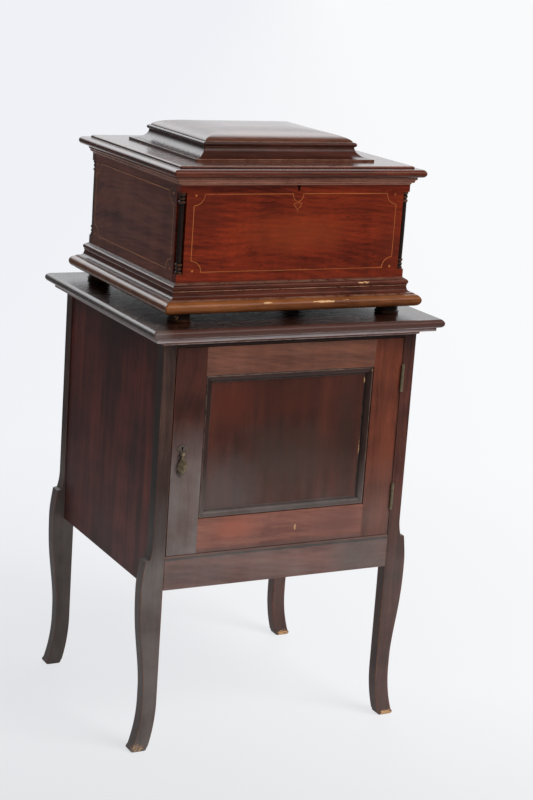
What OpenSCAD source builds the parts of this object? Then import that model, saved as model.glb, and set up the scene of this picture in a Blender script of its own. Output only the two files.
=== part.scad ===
// Disc music box in a case with a hinged lid, standing on a cabinet with shaped legs and a panelled door.
// Millimetres. +X is to the right, +Y to the back, +Z up. The origin is on the floor under the middle of
// the cabinet top. The front faces -Y.

/* [Cabinet] */
// Width of the cabinet top over its rounded edge
top_w = 651; // [620:1:700]
// Depth of the cabinet top
top_d = 582; // [560:1:640]
// Height of the cabinet top's surface above the floor
top_z = 884; // [820:1:950]
// Thickness of the cabinet top
top_t = 18; // [14:0.5:24]
// How far the top reaches past the front and the sides
top_over = 41.5; // [36:0.5:50]
// How far the top reaches past the back
top_back_over = 31; // [20:0.5:50]
// Depth of the moulding under the top
under_h = 19; // [15:0.5:26]
// How far that moulding stays behind the top's edge
under_in = 13; // [10:0.5:20]
// Height of that moulding's upper fillet
under_fillet = 8; // [5:0.5:9]
// Height of the lower edge of the sides and the apron
skirt_z = 344; // [300:1:380]
// Height of the front apron
apron_h = 67; // [50:1:90]
// Thickness of the side boards
side_t = 18; // [12:0.5:22]
// How far the side boards lie inside the legs' outer faces
side_set = 3; // [1:0.5:6]
// Thickness of the rails and the apron
rail_t = 20; // [14:0.5:24]
// Depth of the rail above the door
top_rail_h = 25; // [22:0.5:40]
// Thickness of the back board
back_t = 12; // [8:0.5:16]
// Thickness of the floor board
floor_t = 12; // [9:0.5:18]
// Thickness of the floor's lip that shows under the door
floor_lip = 4; // [2:0.5:6]

/* [Legs] */
// Thickness of the plank that each leg is sawn from
leg_t = 29; // [22:0.5:36]
// Width of the leg's upper part, beside the door
stile_w = 27; // [22:0.5:36]
// Height of the ledge above the knee
ledge_z = 408; // [395:1:430]
// How far the ledge stands out
ledge_out = 14.5; // [9:0.5:16]
// Height of the small flare above the ledge
flare_h = 36; // [20:1:50]
// How far the knee stands out
knee_out = 21.5; // [17:0.5:26]
// Height of the knee's fullest point
knee_z = 345; // [310:1:370]
// How far the ankle stands out
ankle_out = 5; // [0:0.5:8]
// Height of the ankle
ankle_z = 115; // [90:1:140]
// How far the toe stands out
toe_out = 24.5; // [16:0.5:32]
// How far the inner edge of the foot follows the toe
heel_out = 16; // [8:0.5:20]
// Radius that the foot's lower corners are worn to
toe_r = 6; // [3:0.5:8]

/* [Door] */
// Thickness of the door
door_t = 20; // [18:0.5:24]
// Gap round the door
door_gap = 1.5; // [1.4:0.1:2.5]
// Width of the door's upright members
door_stile_w = 66; // [56:1:80]
// Height of the door's top rail
door_top_h = 57.5; // [45:0.5:80]
// Height of the door's bottom rail
door_bottom_h = 71.5; // [50:0.5:90]
// Thickness of the door panel
panel_t = 8; // [5:0.5:9]
// How far the panel lies behind the door's face
panel_sink = 9.5; // [6:0.5:10]
// Depth of the groove that holds the panel
groove = 8; // [5:0.5:12]
// Width of the moulding round the panel
bead_w = 17; // [10:0.5:22]
// Length of a door hinge
hinge_len = 57; // [40:1:70]
// Distance of a hinge's middle from the door's end
hinge_inset = 84; // [50:1:110]
// Radius of the door hinge's knuckle
knuckle_r = 3.2; // [2.6:0.1:4]
// Thickness of a hinge leaf
leaf_t = 0.65; // [0.4:0.05:0.68]
// Height of the door's keyhole
key_z = 639; // [600:1:660]
// Distance of the keyhole from the door's edge
key_in = 22; // [18:0.5:30]
// Throw of the door bolt
bolt_throw = 8; // [5:0.5:9]
// Length of the drop pull
pull_len = 40; // [32:1:50]
// Width of the drop pull
pull_w = 21; // [14:0.5:24]
// Length of the key plate behind it
plate_len = 68; // [60:1:76]

/* [Disc racks] */
// Diameter of a tune disc
disc_d = 394; // [380:1:396]
// Distance between the slots of a rack
slot_pitch = 20; // [14:1:30]
// Width of a slot
slot_w = 3.5; // [2:0.5:3.9]
// Depth of a slot
slot_h = 7; // [4:0.5:9]
// Thickness of a rack board
rack_t = 16; // [13:0.5:20]
// Play of a disc between its two grooves
disc_play = 2; // [1:0.5:4]

/* [Music box] */
// Height of the box's feet
foot_h = 21; // [14:0.5:30]
// Radius of the box's feet
foot_r = 25; // [16:0.5:28]
// Width of the base board
base_w = 575; // [560:1:600]
// Depth of the base board
base_d = 509; // [495:1:540]
// Thickness of the base board
base_t = 24; // [18:0.5:30]
// Width of the case
case_w = 510; // [490:1:530]
// Depth of the case
case_d = 443; // [440:1:470]
// Height of the case's walls
case_h = 237; // [234:1:260]
// Thickness of the case's walls
case_t = 18; // [16:0.5:20]
// Width of the notch that holds a corner column
notch = 14; // [11:0.5:15]
// Radius of the column's shaft
column_r = 5.2; // [3.5:0.1:5.4]
// Distance of the column's foot above the base board
column_low = 49; // [40:1:60]
// Length of a corner column
column_len = 158; // [140:1:165]
// Radius of the keyhole
key_r = 2.2; // [1.5:0.1:3]
// How far the base moulding stands out
skirting_out = 20.5; // [18:0.5:24]
// Height of the base moulding's toe
skirting_toe = 2.4; // [1.6:0.1:4]
// Width of the base moulding's hollow
scotia_w = 12; // [8:0.5:13]
// Height of the base moulding's hollow
scotia_h = 13.6; // [10:0.2:18]
// Height of the base moulding's bead
torus_h = 10.8; // [8:0.2:14]
// How far the moulding under the lid stands out
cornice_out = 10; // [8:0.5:14]
// Depth of the moulding under the lid
cornice_h = 15; // [12:0.5:20]

/* [Lid] */
// Gap between the case and the closed lid
lid_gap = 1.4; // [1.4:0.1:3]
// Width of the lid
lid_w = 559; // [535:1:575]
// Depth of the lid
lid_d = 492; // [485:1:510]
// Thickness of the lid's rounded edge
lid_edge_t = 16; // [12:0.5:20]
// Height of the raised field on the lid
field_h = 5; // [2:0.5:8]
// Width of the lid's rounded border
border_w = 21; // [16:0.5:30]
// Distance of the cap's foot from the lid's edge
cap_in = 80; // [60:1:90]
// Height of the fillet at the cap's foot
cap_fillet = 4.5; // [2:0.5:7]
// Width of the cap's cove
cove_w = 27; // [18:0.5:34]
// Height of the cap's cove
cove_h = 21; // [14:0.5:30]
// Radius of the bead above the cove
bead_r = 4.5; // [2.5:0.25:5]
// Rise of the cushion-shaped top
dome_h = 19; // [10:0.5:26]
// Width of the cushion's rounded border
dome_run = 105; // [60:1:120]
// Length of a lid hinge
lid_hinge_len = 64; // [40:1:80]

/* [Disc and combs] */
// Height of the disc above the base board's top
disc_up = 162.5; // [158:0.5:168]
// Thickness of the disc
disc_t = 1; // [0.6:0.1:1.2]
// Number of drive holes round the disc
drive_holes = 96; // [84:4:100]
// Radius of the ring of drive holes
drive_r = 190; // [182:1:191]
// Number of star wheels, and of teeth in each comb
star_n = 36; // [24:1:38]
// Distance between star wheels
star_pitch = 3.5; // [3:0.1:3.6]
// Radius of a star wheel
star_r = 7; // [5.5:0.1:7.5]
// Thickness of a star wheel
star_t = 1.7; // [1.2:0.1:2.2]
// Distance of the first star wheel from the spindle
star_first = 60; // [50:1:64]
// Thickness of a comb
comb_t = 3; // [2:0.25:4]
// Length of the shortest comb tooth
tooth_short = 48; // [35:1:55]
// Length of the longest comb tooth
tooth_long = 70; // [60:1:80]

/* [Spring motor] */
// Module of the motor's great wheel and its pinions
wheel_m = 1.5; // [1.3:0.05:1.5]
// Teeth of the great wheel
great_n = 75; // [70:1:76]
// Teeth of the drive pinion
drive_n = 24; // [20:1:25]
// Number of pins on the drive wheel
pin_n = 12; // [12:1:12]
// Teeth of the second arbor's pinion
second_n = 14; // [13:1:16]
// Teeth of the governor wheel
governor_n = 48; // [44:1:50]
// Radius of the spring barrel
barrel_r = 38; // [30:1:39]
// Length of the spring barrel
barrel_len = 48; // [36:1:50]
// Radius of the winding arbor
arbor_r = 5; // [4:0.25:5.5]
// Reach of the governor's fan
fan_r = 16; // [12:0.5:17]

/* [Clearances] */
// Radial clearance of a shaft in its bearing
run_fit = 0.05; // [0.03:0.01:0.09]
// Clearance between pieces that slide or pass each other
slide_gap = 0.3; // [0.2:0.05:0.5]
// Width of the saw cut at a mitre
kerf = 0.2; // [0.1:0.05:0.4]

/* [Hidden] */
$fn = 48;
past = 1;

// Cabinet planes
half_w = top_w / 2 - top_over;
back_set = 3;
fillet_w = 2;
fillet_h = 1.4;
lip_w = 0.8;
under_lip = 1.5;
under_toe = 4;
under_quirk = 3;
front_y = top_over - top_d / 2;
back_y = top_d / 2 - top_back_over;
open_x = half_w - stile_w;
under_top = top_z - top_t;
apron_top = skirt_z + apron_h;
floor_top = apron_top + floor_lip;
side_in = half_w - side_set - side_t;
leg_back_face = front_y + leg_t;

// Door planes
door_half = open_x - door_gap;
door_low = floor_top + door_gap;
door_high = under_top - top_rail_h - door_gap;
door_back = front_y + door_t;
frame_x = door_half - door_stile_w;
frame_low = door_low + door_bottom_h;
frame_high = door_high - door_top_h;
panel_y = front_y + panel_sink;
hinge_x = open_x - door_gap / 2;
hinge_y = front_y - knuckle_r - 0.2;
hinge_pin_r = 1.3;
hinge_zs = [door_low + hinge_inset, door_high - hinge_inset];
key_x = key_in - door_half;
lock_w = key_in + 20;
lock_wall = 3;
lock_h = 54;
lock_t = 12;
lock_y = front_y + door_t / 2;
bolt_h = 16;
bolt_t = 5;
pull_z = key_z - 12;
pull_y = front_y - 5.5;
plate_t_brass = 1.4;
pull_eye_r = 3;
pull_pin_r = 1;

// Box planes
base_low = top_z + foot_h;
foot_in = 27;
base_top = base_low + base_t;
case_x = case_w / 2;
case_y = case_d / 2;
case_top = base_top + case_h;
in_x = case_x - case_t;
in_y = case_y - case_t;
lid_low = case_top + lid_gap;
border_z = lid_low + lid_edge_t;
field_z = border_z + field_h;
cap_x = lid_w / 2 - cap_in;
cap_y = lid_d / 2 - cap_in;
cove_low = field_z + cap_fillet;
cove_top = cove_low + cove_h;
cap_wall = cove_w + 12;
bead_in = cove_w + bead_r;
dome_in = bead_in + 2;
dome_low = cove_top + 2 * bead_r;
lid_leaf_t = lid_gap / 2 - 0.05;
lid_knuckle_r = 3;
lid_pivot_y = case_y + lid_knuckle_r + 0.5;
lid_pivot_z = case_top + lid_gap / 2;
lid_hinge_x = case_x * 0.6;
lid_lock_x = 28;
lid_lock_t = 12;
lid_lock_h = 40;
lid_key_z = case_top - 18;
lid_bolt_y = -in_y - lid_lock_t / 2;
lid_bolt_t = 3.4;
strike_t = 1;
staple_t = 4;
staple_w = 8;
staple_gap = 0.8;
staple_room = staple_t / 2 + staple_gap;
staple_xs = [-10, 10];
staple_low = case_top - 11;
hook_z = case_top - 7;
hook_h = 2.8;
hook_w = 3;
hook_back = 11;
bolt_low = case_top - 17;
bolt_bar_h = 5;

// Disc, combs and star wheels
disc_z = base_top + disc_up;
plate_drop = 51.5;
plate_top = disc_z - plate_drop;
plate_t = 8;
plate_edge_x = in_x - 14;
plate_edge_y = in_y - 12;
plate_round = 14;
window_round = 4;
post_r = 9;
post_in = post_r + 6;
spindle_r = 4;
star_z = disc_z - star_r - 1.5;
star_last = star_first + (star_n - 1) * star_pitch;
shaft_r = 1.5;
comb_tip = star_r + 0.6;
comb_heel = 26;
comb_edge = comb_tip + tooth_long + comb_heel;
comb_low = star_z - comb_t / 2;
comb_base_w = 30;
comb_end = 8;
comb_x0 = -star_last - comb_end;
comb_x1 = comb_end - star_first;
screw_r = 4;
cheek_t = 4;
cheek_r = 4;
cheek_in = star_first - star_t - 6;
cheek_out = star_last + star_t + 2;

// Spring motor, whose arbors all lie along X; wheel_r is where the drive wheel's pins match the disc's holes
wheel_r = drive_r * pin_n / drive_holes;
drive_z = disc_z + disc_t / 2 - wheel_r;
backlash = 0.12;
great_pitch_r = wheel_m * great_n / 2;
drive_pinion_r = wheel_m * drive_n / 2;
second_pinion_r = wheel_m * second_n / 2;
governor_m = 1;
governor_pitch_r = governor_m * governor_n / 2;
barrel_z = drive_z - great_pitch_r - drive_pinion_r;
second_y = -60;
second_z = barrel_z + sqrt(pow(great_pitch_r + second_pinion_r, 2) - pow(second_y, 2));
worm_r = 4;
worm_y = second_y - governor_pitch_r - worm_r;
motor_x0 = 104;
motor_x1 = 172;
motor_t = 4;
motor_round = 10;
great_x = motor_x0 + motor_t + 4;
great_t = 5;
governor_x = great_x + great_t + 13;
governor_t = 2.4;
worm_x = governor_x + governor_t / 2;
motor_front = worm_y - 34;
motor_back = great_pitch_r + 6;
motor_top = disc_z - 9.5;
drive_shaft_r = 3;
rim_t = 5;
pillar_r = 5;
cock_d = 8;
cock_y = worm_y - 28;
pin_len = 8;
second_shaft_r = 2.5;
pivot_r = 1.2;
cock_low = second_z - 22;
cock_high = motor_top - 7;
lever_x = worm_x + 23;
lever_y = worm_y - 72;
lever_z = second_z + governor_pitch_r + 8;
lever_len = 63;
lever_pin_r = 2;
lever_t = 3;
handle_len = 34;
barrel_wall = 3;
spring_t = 1.1;
bush_r = arbor_r + 3;
bush_rim = 1.6;
ratchet_r = 14;
ratchet_n = 16;
ratchet_t = 4;
ratchet_h = 2.5;
ratchet_x = motor_x1 + motor_t + 1.5;
click_y = 24;
click_z = barrel_z + 20;
click_pin_r = 1.5;
click_lift = 5.5;

// Points along part of an ellipse
function arc_pts(cx, cy, rx, ry, a0, a1, n) =
    [for (i = [0:n]) let (a = a0 + (a1 - a0) * i / n) [cx + rx * cos(a), cy + ry * sin(a)]];

// Rectangle between two corners, with round corners
function round_pts(x0, y0, x1, y1, r) = concat(
    arc_pts(x1 - r, y1 - r, r, r, 0, 90, 6), arc_pts(x0 + r, y1 - r, r, r, 90, 180, 6),
    arc_pts(x0 + r, y0 + r, r, r, 180, 270, 6), arc_pts(x1 - r, y0 + r, r, r, 270, 360, 6));

// Both sides of a profile whose points are [reach past the body, height]
function two_sided(prof, low, high, high_share) = concat(
    [for (p = prof) [high + p[0] * high_share, p[1]]],
    [for (i = [len(prof) - 1:-1:0]) [low - prof[i][0], prof[i][1]]]);

// A body with the same moulded edge all round and mitred corners. With back_share = 0 its back is flat.
module mitred(prof, x, y0, y1, back_share = 1) {
    intersection() {
        rotate([90, 0, 0]) linear_extrude(4 * x, center = true) polygon(two_sided(prof, -x, x, 1));
        rotate([90, 0, 90]) linear_extrude(4 * x, center = true)
            polygon(two_sided(prof, y0, y1, back_share));
    }
}

// Saw cuts along the mitres at the corners of a body
module mitre_cuts(x, y0, y1, z0, z1, back_share) {
    reach = 60;
    for (sx = [-1, 1]) {
        translate([sx * x, y0, z0 - past]) rotate(sx * 45 - 90)
            translate([-reach / 2, -kerf / 2, 0]) cube([reach * 1.5, kerf, z1 - z0 + 2 * past]);
        if (back_share > 0)
            translate([sx * x, y1, z0 - past]) rotate(90 - sx * 45)
                translate([-reach / 2, -kerf / 2, 0]) cube([reach * 1.5, kerf, z1 - z0 + 2 * past]);
    }
}

// Lengths of moulding planted round a body
module moulding(prof, x, y0, y1, back_share = 1) {
    z0 = prof[0][1];
    z1 = prof[len(prof) - 1][1];
    difference() {
        mitred(prof, x, y0, y1, back_share);
        translate([-x, y0, z0 - past])
            cube([2 * x, y1 - y0 + (1 - back_share) * past, z1 - z0 + 2 * past]);
        mitre_cuts(x, y0, y1, z0, z1, back_share);
    }
}

// A box given by its lowest and highest corners
module span(a, b) {
    translate(a) cube(b - a);
}

// A cylinder along X from x0 to x1
module rod_x(x0, x1, y, z, r) {
    translate([x0, y, z]) rotate([0, 90, 0]) cylinder(r = r, h = x1 - x0);
}

// Outline of a gear with involute teeth and a little backlash
function inv_deg(a) = tan(a) * 180 / PI - a;
function gear_half(r, rb, rp, n, slack) = 90 / n - slack / rp * 90 / PI + inv_deg(20)
    - (r > rb ? inv_deg(acos(rb / r)) : 0);
function gear_pts(n, m, slack) = let (
    rp = n * m / 2,
    rb = rp * cos(20),
    rf = rp - 1.15 * m,
    ra = rp + 0.9 * m,
    rs = [rf, max(rb, rf + 0.1), rp, (rp + ra) / 2, ra]) [
        for (i = [0:n - 1], j = [0:9])
            let (k = j < 5 ? j : 9 - j,
                a = 360 * i / n + (j < 5 ? -1 : 1) * gear_half(rs[k], rb, rp, n, slack))
            [rs[k] * cos(a), rs[k] * sin(a)]];

// A gear across X whose first tooth points at the given angle from +Y towards +Z
module gear_x(n, m, x, y, z, t, turn) {
    translate([x, y, z]) rotate([90, 0, 90]) linear_extrude(t) rotate(turn) polygon(gear_pts(n, m, backlash));
}

// Outline of a leg on the left: x is how far it stands out from the cabinet's side
function flare_pts() = [for (i = [0:6]) let (t = i / 6) [5.5 * t * t, ledge_z + flare_h * (1 - t) + 2]];
function knee_pts() = [for (i = [0:8]) let (t = i / 8)
    [ledge_out + (knee_out - ledge_out) * sin(90 * t), ledge_z - (ledge_z - knee_z) * t]];
function calf_pts() = [for (i = [1:14]) let (t = i / 14)
    [knee_out - (knee_out - ankle_out) * (1 - cos(180 * pow(t, 1.25))) / 2,
        knee_z - (knee_z - ankle_z - 15) * t]];
function toe_pts() = [for (i = [0:9]) let (t = i / 10)
    [ankle_out + (toe_out - ankle_out) * pow(t, 2.2), ankle_z * (1 - t)]];
function heel_pts() = [for (i = [9:-1:0]) let (t = i / 10)
    [-stile_w + heel_out * t * t, (ankle_z - 5) * (1 - t)]];
function leg_pts() = concat([[0, under_top]], flare_pts(), knee_pts(), calf_pts(), toe_pts(),
    arc_pts(toe_out - toe_r, toe_r, toe_r, toe_r, 0, -90, 4),
    arc_pts(heel_out - stile_w + toe_r, toe_r, toe_r, toe_r, -90, -180, 4),
    heel_pts(), [[-stile_w, under_top]]);

// One leg and stile, sawn from a single plank, on the side given by -1 or 1
module leg(side, y) {
    translate([side * half_w, y + leg_t, 0]) rotate([90, 0, 0]) linear_extrude(leg_t)
        polygon([for (p = leg_pts()) [side * p[0], p[1]]]);
}

// Profiles: each point is [reach past the body, height]
function top_prof() = concat([[-top_t / 2, under_top]],
    arc_pts(-top_t / 2, under_top + top_t / 2, top_t / 2, top_t / 2, -75, 75, 10), [[-top_t / 2, top_z]]);
function under_prof() = let (out = top_over - under_in, low = under_top - under_h) concat(
    [[under_lip, low], [under_toe, low + 1]],
    arc_pts(out, low + under_quirk, out - under_toe, under_h - under_fillet - under_quirk, 180, 90, 7),
    [[out, under_top - under_fillet], [out, under_top]]);
function base_prof() = concat([[-base_t / 2, base_low]],
    arc_pts(-base_t / 2, base_low + base_t / 2, base_t / 2, base_t / 2, -75, 75, 12),
    [[-base_t / 2, base_top]]);
function skirting_prof() = let (
    toe = skirting_out - fillet_w,
    hollow_x = toe - scotia_w,
    toe_z = base_top + skirting_toe,
    bead_z = toe_z + scotia_h + fillet_h,
    torus_top = bead_z + torus_h) concat(
        [[skirting_out, base_top], [skirting_out, toe_z - 1], [toe, toe_z - 1], [toe, toe_z]],
        arc_pts(toe, toe_z + scotia_h * 0.56, scotia_w * 0.88, scotia_h * 0.56, -90, -170, 6),
        [[hollow_x, bead_z - fillet_h], [hollow_x + 1.6, bead_z - fillet_h], [hollow_x + 1.6, bead_z]],
        arc_pts(hollow_x - 1.4, bead_z + torus_h * 0.54, torus_h * 0.41, torus_h / 2, -65, 75, 8),
        [[hollow_x - 1.8, torus_top + 0.7], [hollow_x - 1.8, torus_top + fillet_h],
            [lip_w + fillet_w, torus_top + fillet_h + 0.4], [lip_w + fillet_w, torus_top + 2 * fillet_h],
            [lip_w, torus_top + 2 * fillet_h + 0.4], [lip_w, torus_top + 3 * fillet_h]]);
function cornice_prof() = let (
    low = case_top - cornice_h,
    step = (cornice_out - lip_w - 1) * 0.44,
    mid = low + cornice_h / 3) concat(
        [[lip_w, low]],
        arc_pts(lip_w + step, low, step, cornice_h / 4, 180, 90, 4),
        [[cornice_out - step, mid], [cornice_out - step, mid + fillet_h]],
        arc_pts(cornice_out, mid + fillet_h, step, cornice_h * 0.27, 180, 90, 5),
        [[cornice_out, case_top]]);
function lid_prof() = let (r = lid_edge_t / 2) concat([[-r, lid_low]],
    arc_pts(-r, lid_low + r, r, r, -78, 78, 10), [[-r, border_z]],
    [[-border_w + 1.5, border_z]],
    arc_pts(-border_w - 1.5, border_z + 1, 3, field_h - 1, 0, 90, 3));
function cove_prof() = concat([[0, field_z], [0, cove_low], [-2, cove_low]],
    arc_pts(-2, cove_top, cove_w + 2, cove_h, 270, 180, 9),
    arc_pts(-bead_in, cove_top + bead_r, bead_r, bead_r, -90, 90, 6),
    [[-dome_in - 1, dome_low]]);
function dome_prof() = concat([[0, dome_low]],
    arc_pts(-dome_run, dome_low, dome_run, dome_h, 4, 90, 14));

module cabinet_top() {
    color("#3c1d14") mitred(top_prof(), top_w / 2, -top_d / 2, top_d / 2);
}
module top_moulding() {
    color("#2e1610") moulding(under_prof(), half_w, front_y, back_y, 0);
}
module leg_front_left() {
    color("#3a2019") difference() {
        leg(-1, front_y);
        span([-open_x - bolt_throw - 1, lock_y - bolt_t / 2 - slide_gap, key_z - bolt_h / 2 - slide_gap],
            [-open_x + past, lock_y + bolt_t / 2 + slide_gap, key_z + bolt_h / 2 + slide_gap]);
    }
}
module leg_front_right() {
    color("#3a2019") leg(1, front_y);
}
module leg_back_left() {
    color("#3a2019") leg(-1, back_y - leg_t);
}
module leg_back_right() {
    color("#3a2019") leg(1, back_y - leg_t);
}
module side_board(side) {
    x0 = min(side * side_in, side * (side_in + side_t));
    span([x0, leg_back_face, skirt_z], [x0 + side_t, back_y - leg_t, under_top]);
}
module cabinet_sides() {
    color("#3b1812") for (side = [-1, 1])
        side_board(side);
}
module back_board() {
    color("#4a2a1c") span([-open_x, back_y - back_set - back_t, apron_top],
        [open_x, back_y - back_set, under_top]);
}
module cabinet_floor() {
    low = floor_top - floor_t;
    color("#4a2a1c") union() {
        span([-side_in, leg_back_face, low], [side_in, back_y - leg_t, floor_top]);
        span([-open_x, front_y + rail_t, low], [open_x, back_y - back_set - back_t, floor_top]);
        span([-open_x, front_y, apron_top], [open_x, front_y + rail_t + past, floor_top]);
    }
}
module apron() {
    color("#3a1e17") span([-open_x, front_y, skirt_z], [open_x, front_y + rail_t, apron_top]);
}
module back_rail() {
    color("#3a1e17") span([-open_x, back_y - back_set - rail_t, skirt_z],
        [open_x, back_y - back_set, floor_top - floor_t]);
}
module top_rail() {
    color("#3a1e17") span([-open_x, front_y, under_top - top_rail_h], [open_x, front_y + rail_t, under_top]);
}

// Two grooved boards that hold the discs on edge; a disc rolls in along its pair of grooves
module disc_racks() {
    count = floor((side_in - slot_pitch) / slot_pitch);
    disc_low = floor_top + rack_t - slot_h;
    high = disc_low + disc_d + disc_play;
    color("#8a5a35") translate([0, back_y - leg_t, 0]) rotate([90, 0, 0])
        linear_extrude(back_y - leg_t - leg_back_face) {
            difference() {
                translate([-side_in, floor_top]) square([2 * side_in, rack_t]);
                for (i = [-count:count])
                    translate([i * slot_pitch - slot_w / 2, disc_low]) square([slot_w, slot_h + past]);
            }
            difference() {
                translate([-side_in, high - slot_h]) square([2 * side_in, rack_t]);
                for (i = [-count:count])
                    translate([i * slot_pitch - slot_w / 2, high - slot_h - past])
                        square([slot_w, slot_h + past]);
            }
        }
}

// Door hinge: the frame carries the outer and middle knuckles, the door the two between
module hinge_knuckles(z, first) {
    step = hinge_len / 5;
    for (i = [first:2:4])
        translate([hinge_x, hinge_y, z - hinge_len / 2 + i * step])
            cylinder(r = knuckle_r, h = step - (i < 4 ? slide_gap : 0));
}
module hinge_plate(z, x) {
    span([x, hinge_y, z - hinge_len / 2], [x + leaf_t, door_back - 2, z + hinge_len / 2]);
}
module knuckle_room(z, first) {
    step = hinge_len / 5;
    for (i = [first:2:4])
        translate([hinge_x, hinge_y, z - hinge_len / 2 + i * step - slide_gap])
            cylinder(r = knuckle_r + slide_gap, h = step + slide_gap);
}
module door_hinge_frame_leaves() {
    color("#7d6a3c") for (z = hinge_zs) {
        difference() {
            union() {
                hinge_knuckles(z, 0);
                hinge_plate(z, open_x - leaf_t);
            }
            knuckle_room(z, 1);
        }
        translate([hinge_x, hinge_y, z - hinge_len / 2]) cylinder(r = hinge_pin_r, h = hinge_len);
    }
}
module door_hinge_leaves() {
    color("#7d6a3c") for (z = hinge_zs) difference() {
        union() {
            hinge_knuckles(z, 1);
            hinge_plate(z, door_half);
        }
        knuckle_room(z, 0);
        translate([hinge_x, hinge_y, z - hinge_len / 2 - past])
            cylinder(r = hinge_pin_r + run_fit, h = hinge_len + 2 * past);
    }
}

// Upright member of the door, grooved for the panel, on the side given by -1 or 1
module door_stile(side) {
    x0 = min(side * frame_x, side * door_half);
    difference() {
        span([x0, front_y, door_low], [x0 + door_stile_w, door_back, door_high]);
        span([side * frame_x - groove, panel_y, frame_low - groove],
            [side * frame_x + groove, panel_y + panel_t, frame_high + groove]);
    }
}
module key_slot(x, y0, y1, z) {
    translate([x, y1, z]) rotate([90, 0, 0]) cylinder(r = key_r, h = y1 - y0);
    span([x - key_r * 0.45, y0, z - key_r * 3.4], [x + key_r * 0.45, y1, z]);
}
module lock_case_block(grow) {
    span([-door_half - grow, lock_y - lock_t / 2 + 1, key_z - lock_h / 2],
        [lock_w - door_half, lock_y + lock_t / 2 - 1, key_z + lock_h / 2]);
}
module door_lock_stile() {
    color("#33211c") difference() {
        door_stile(-1);
        lock_case_block(past);
        key_slot(key_x, front_y - past, lock_y, key_z);
    }
}
module door_hinge_stile() {
    color("#5a2f1e") door_stile(1);
}
module door_rail(z0, z1, groove_z) {
    difference() {
        span([-frame_x, front_y, z0], [frame_x, door_back, z1]);
        span([-frame_x - past, panel_y, groove_z - groove],
            [frame_x + past, panel_y + panel_t, groove_z + groove]);
    }
}
module door_top_rail() {
    color("#593626") door_rail(frame_high, door_high, frame_high);
}
module door_bottom_rail() {
    color("#58241a") door_rail(door_low, frame_low, frame_low);
}
module door_panel() {
    lap = groove - 1;
    color("#3d1a14") span([-frame_x - lap, panel_y, frame_low - lap],
        [frame_x + lap, panel_y + panel_t, frame_high + lap]);
}

// Panel moulding: an ovolo that falls from the frame's face to the panel, in four mitred lengths
function bead_prof() = concat([[0, 0], [0, 2.5], [1.4, 2.5], [1.4, panel_sink - 1.6]],
    arc_pts(2.8, 1, bead_w - 5.3, panel_sink - 1.8, 90, 8, 7),
    [[bead_w - 1.5, 1.6], [bead_w - 1.5, 1], [bead_w, 0.8], [bead_w, 0]]);
module bead_length(len, prof) {
    difference() {
        rotate([90, 0, 90]) linear_extrude(len, center = true) polygon(prof);
        for (s = [-1, 1])
            translate([s * len / 2, 0, -past]) rotate(s * 45)
                translate([s > 0 ? -kerf / 2 : kerf / 2 - 2 * bead_w, -bead_w, 0])
                    cube([2 * bead_w, 4 * bead_w, panel_sink + 2 * past]);
    }
}
module door_moulding() {
    w = 2 * frame_x;
    h = frame_high - frame_low;
    prof = bead_prof();
    color("#271714") translate([0, panel_y, (frame_low + frame_high) / 2]) rotate([90, 0, 0])
        for (s = [0, 180])
            rotate(s) {
                translate([0, -h / 2, 0]) bead_length(w, prof);
                translate([w / 2, 0, 0]) rotate(90) bead_length(h, prof);
            }
}
module door_lock() {
    color("#8b8478") difference() {
        lock_case_block(0);
        span([-door_half - past, lock_y - bolt_t / 2 - slide_gap, key_z - bolt_h / 2 - slide_gap],
            [lock_w - door_half - lock_wall, lock_y + bolt_t / 2 + slide_gap,
                key_z + bolt_h / 2 + slide_gap]);
        key_slot(key_x, front_y, lock_y, key_z);
    }
}
module door_bolt() {
    color("#8f7a45") difference() {
        span([-door_half, lock_y - bolt_t / 2, key_z - bolt_h / 2],
            [lock_w - door_half - lock_wall - slide_gap, lock_y + bolt_t / 2, key_z + bolt_h / 2]);
        span([key_x - 6, lock_y - bolt_t, key_z - bolt_h],
            [key_x + 6 + bolt_throw, lock_y + bolt_t, key_z + 3]);
    }
}

// Key plate with lobed ends, and two ears that carry the drop pull's pin
module door_escutcheon() {
    foot = key_z + 7 - plate_len;
    color("#6d5a34") {
        difference() {
            union() {
                translate([key_x, front_y, 0]) rotate([90, 0, 0]) linear_extrude(plate_t_brass) union() {
                    translate([0, key_z]) circle(r = 7);
                    translate([-4.5, foot + 5]) square([9, key_z - foot - 5]);
                    translate([0, foot + 4]) circle(r = 4);
                    for (s = [-1, 1]) {
                        translate([s * 7, key_z - 1]) circle(r = 4);
                        translate([s * 5.5, foot + 11]) circle(r = 4.5);
                        translate([s * 4, key_z - 20]) circle(r = 5);
                    }
                }
                for (s = [-1, 1])
                    span([key_x + s * 4 - 1, pull_y - 2, pull_z - 2],
                        [key_x + s * 4 + 1, front_y, pull_z + 2]);
            }
            key_slot(key_x, front_y - 3, front_y + past, key_z);
        }
        rod_x(key_x - 4, key_x + 4, pull_y, pull_z, pull_pin_r);
    }
}

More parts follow.
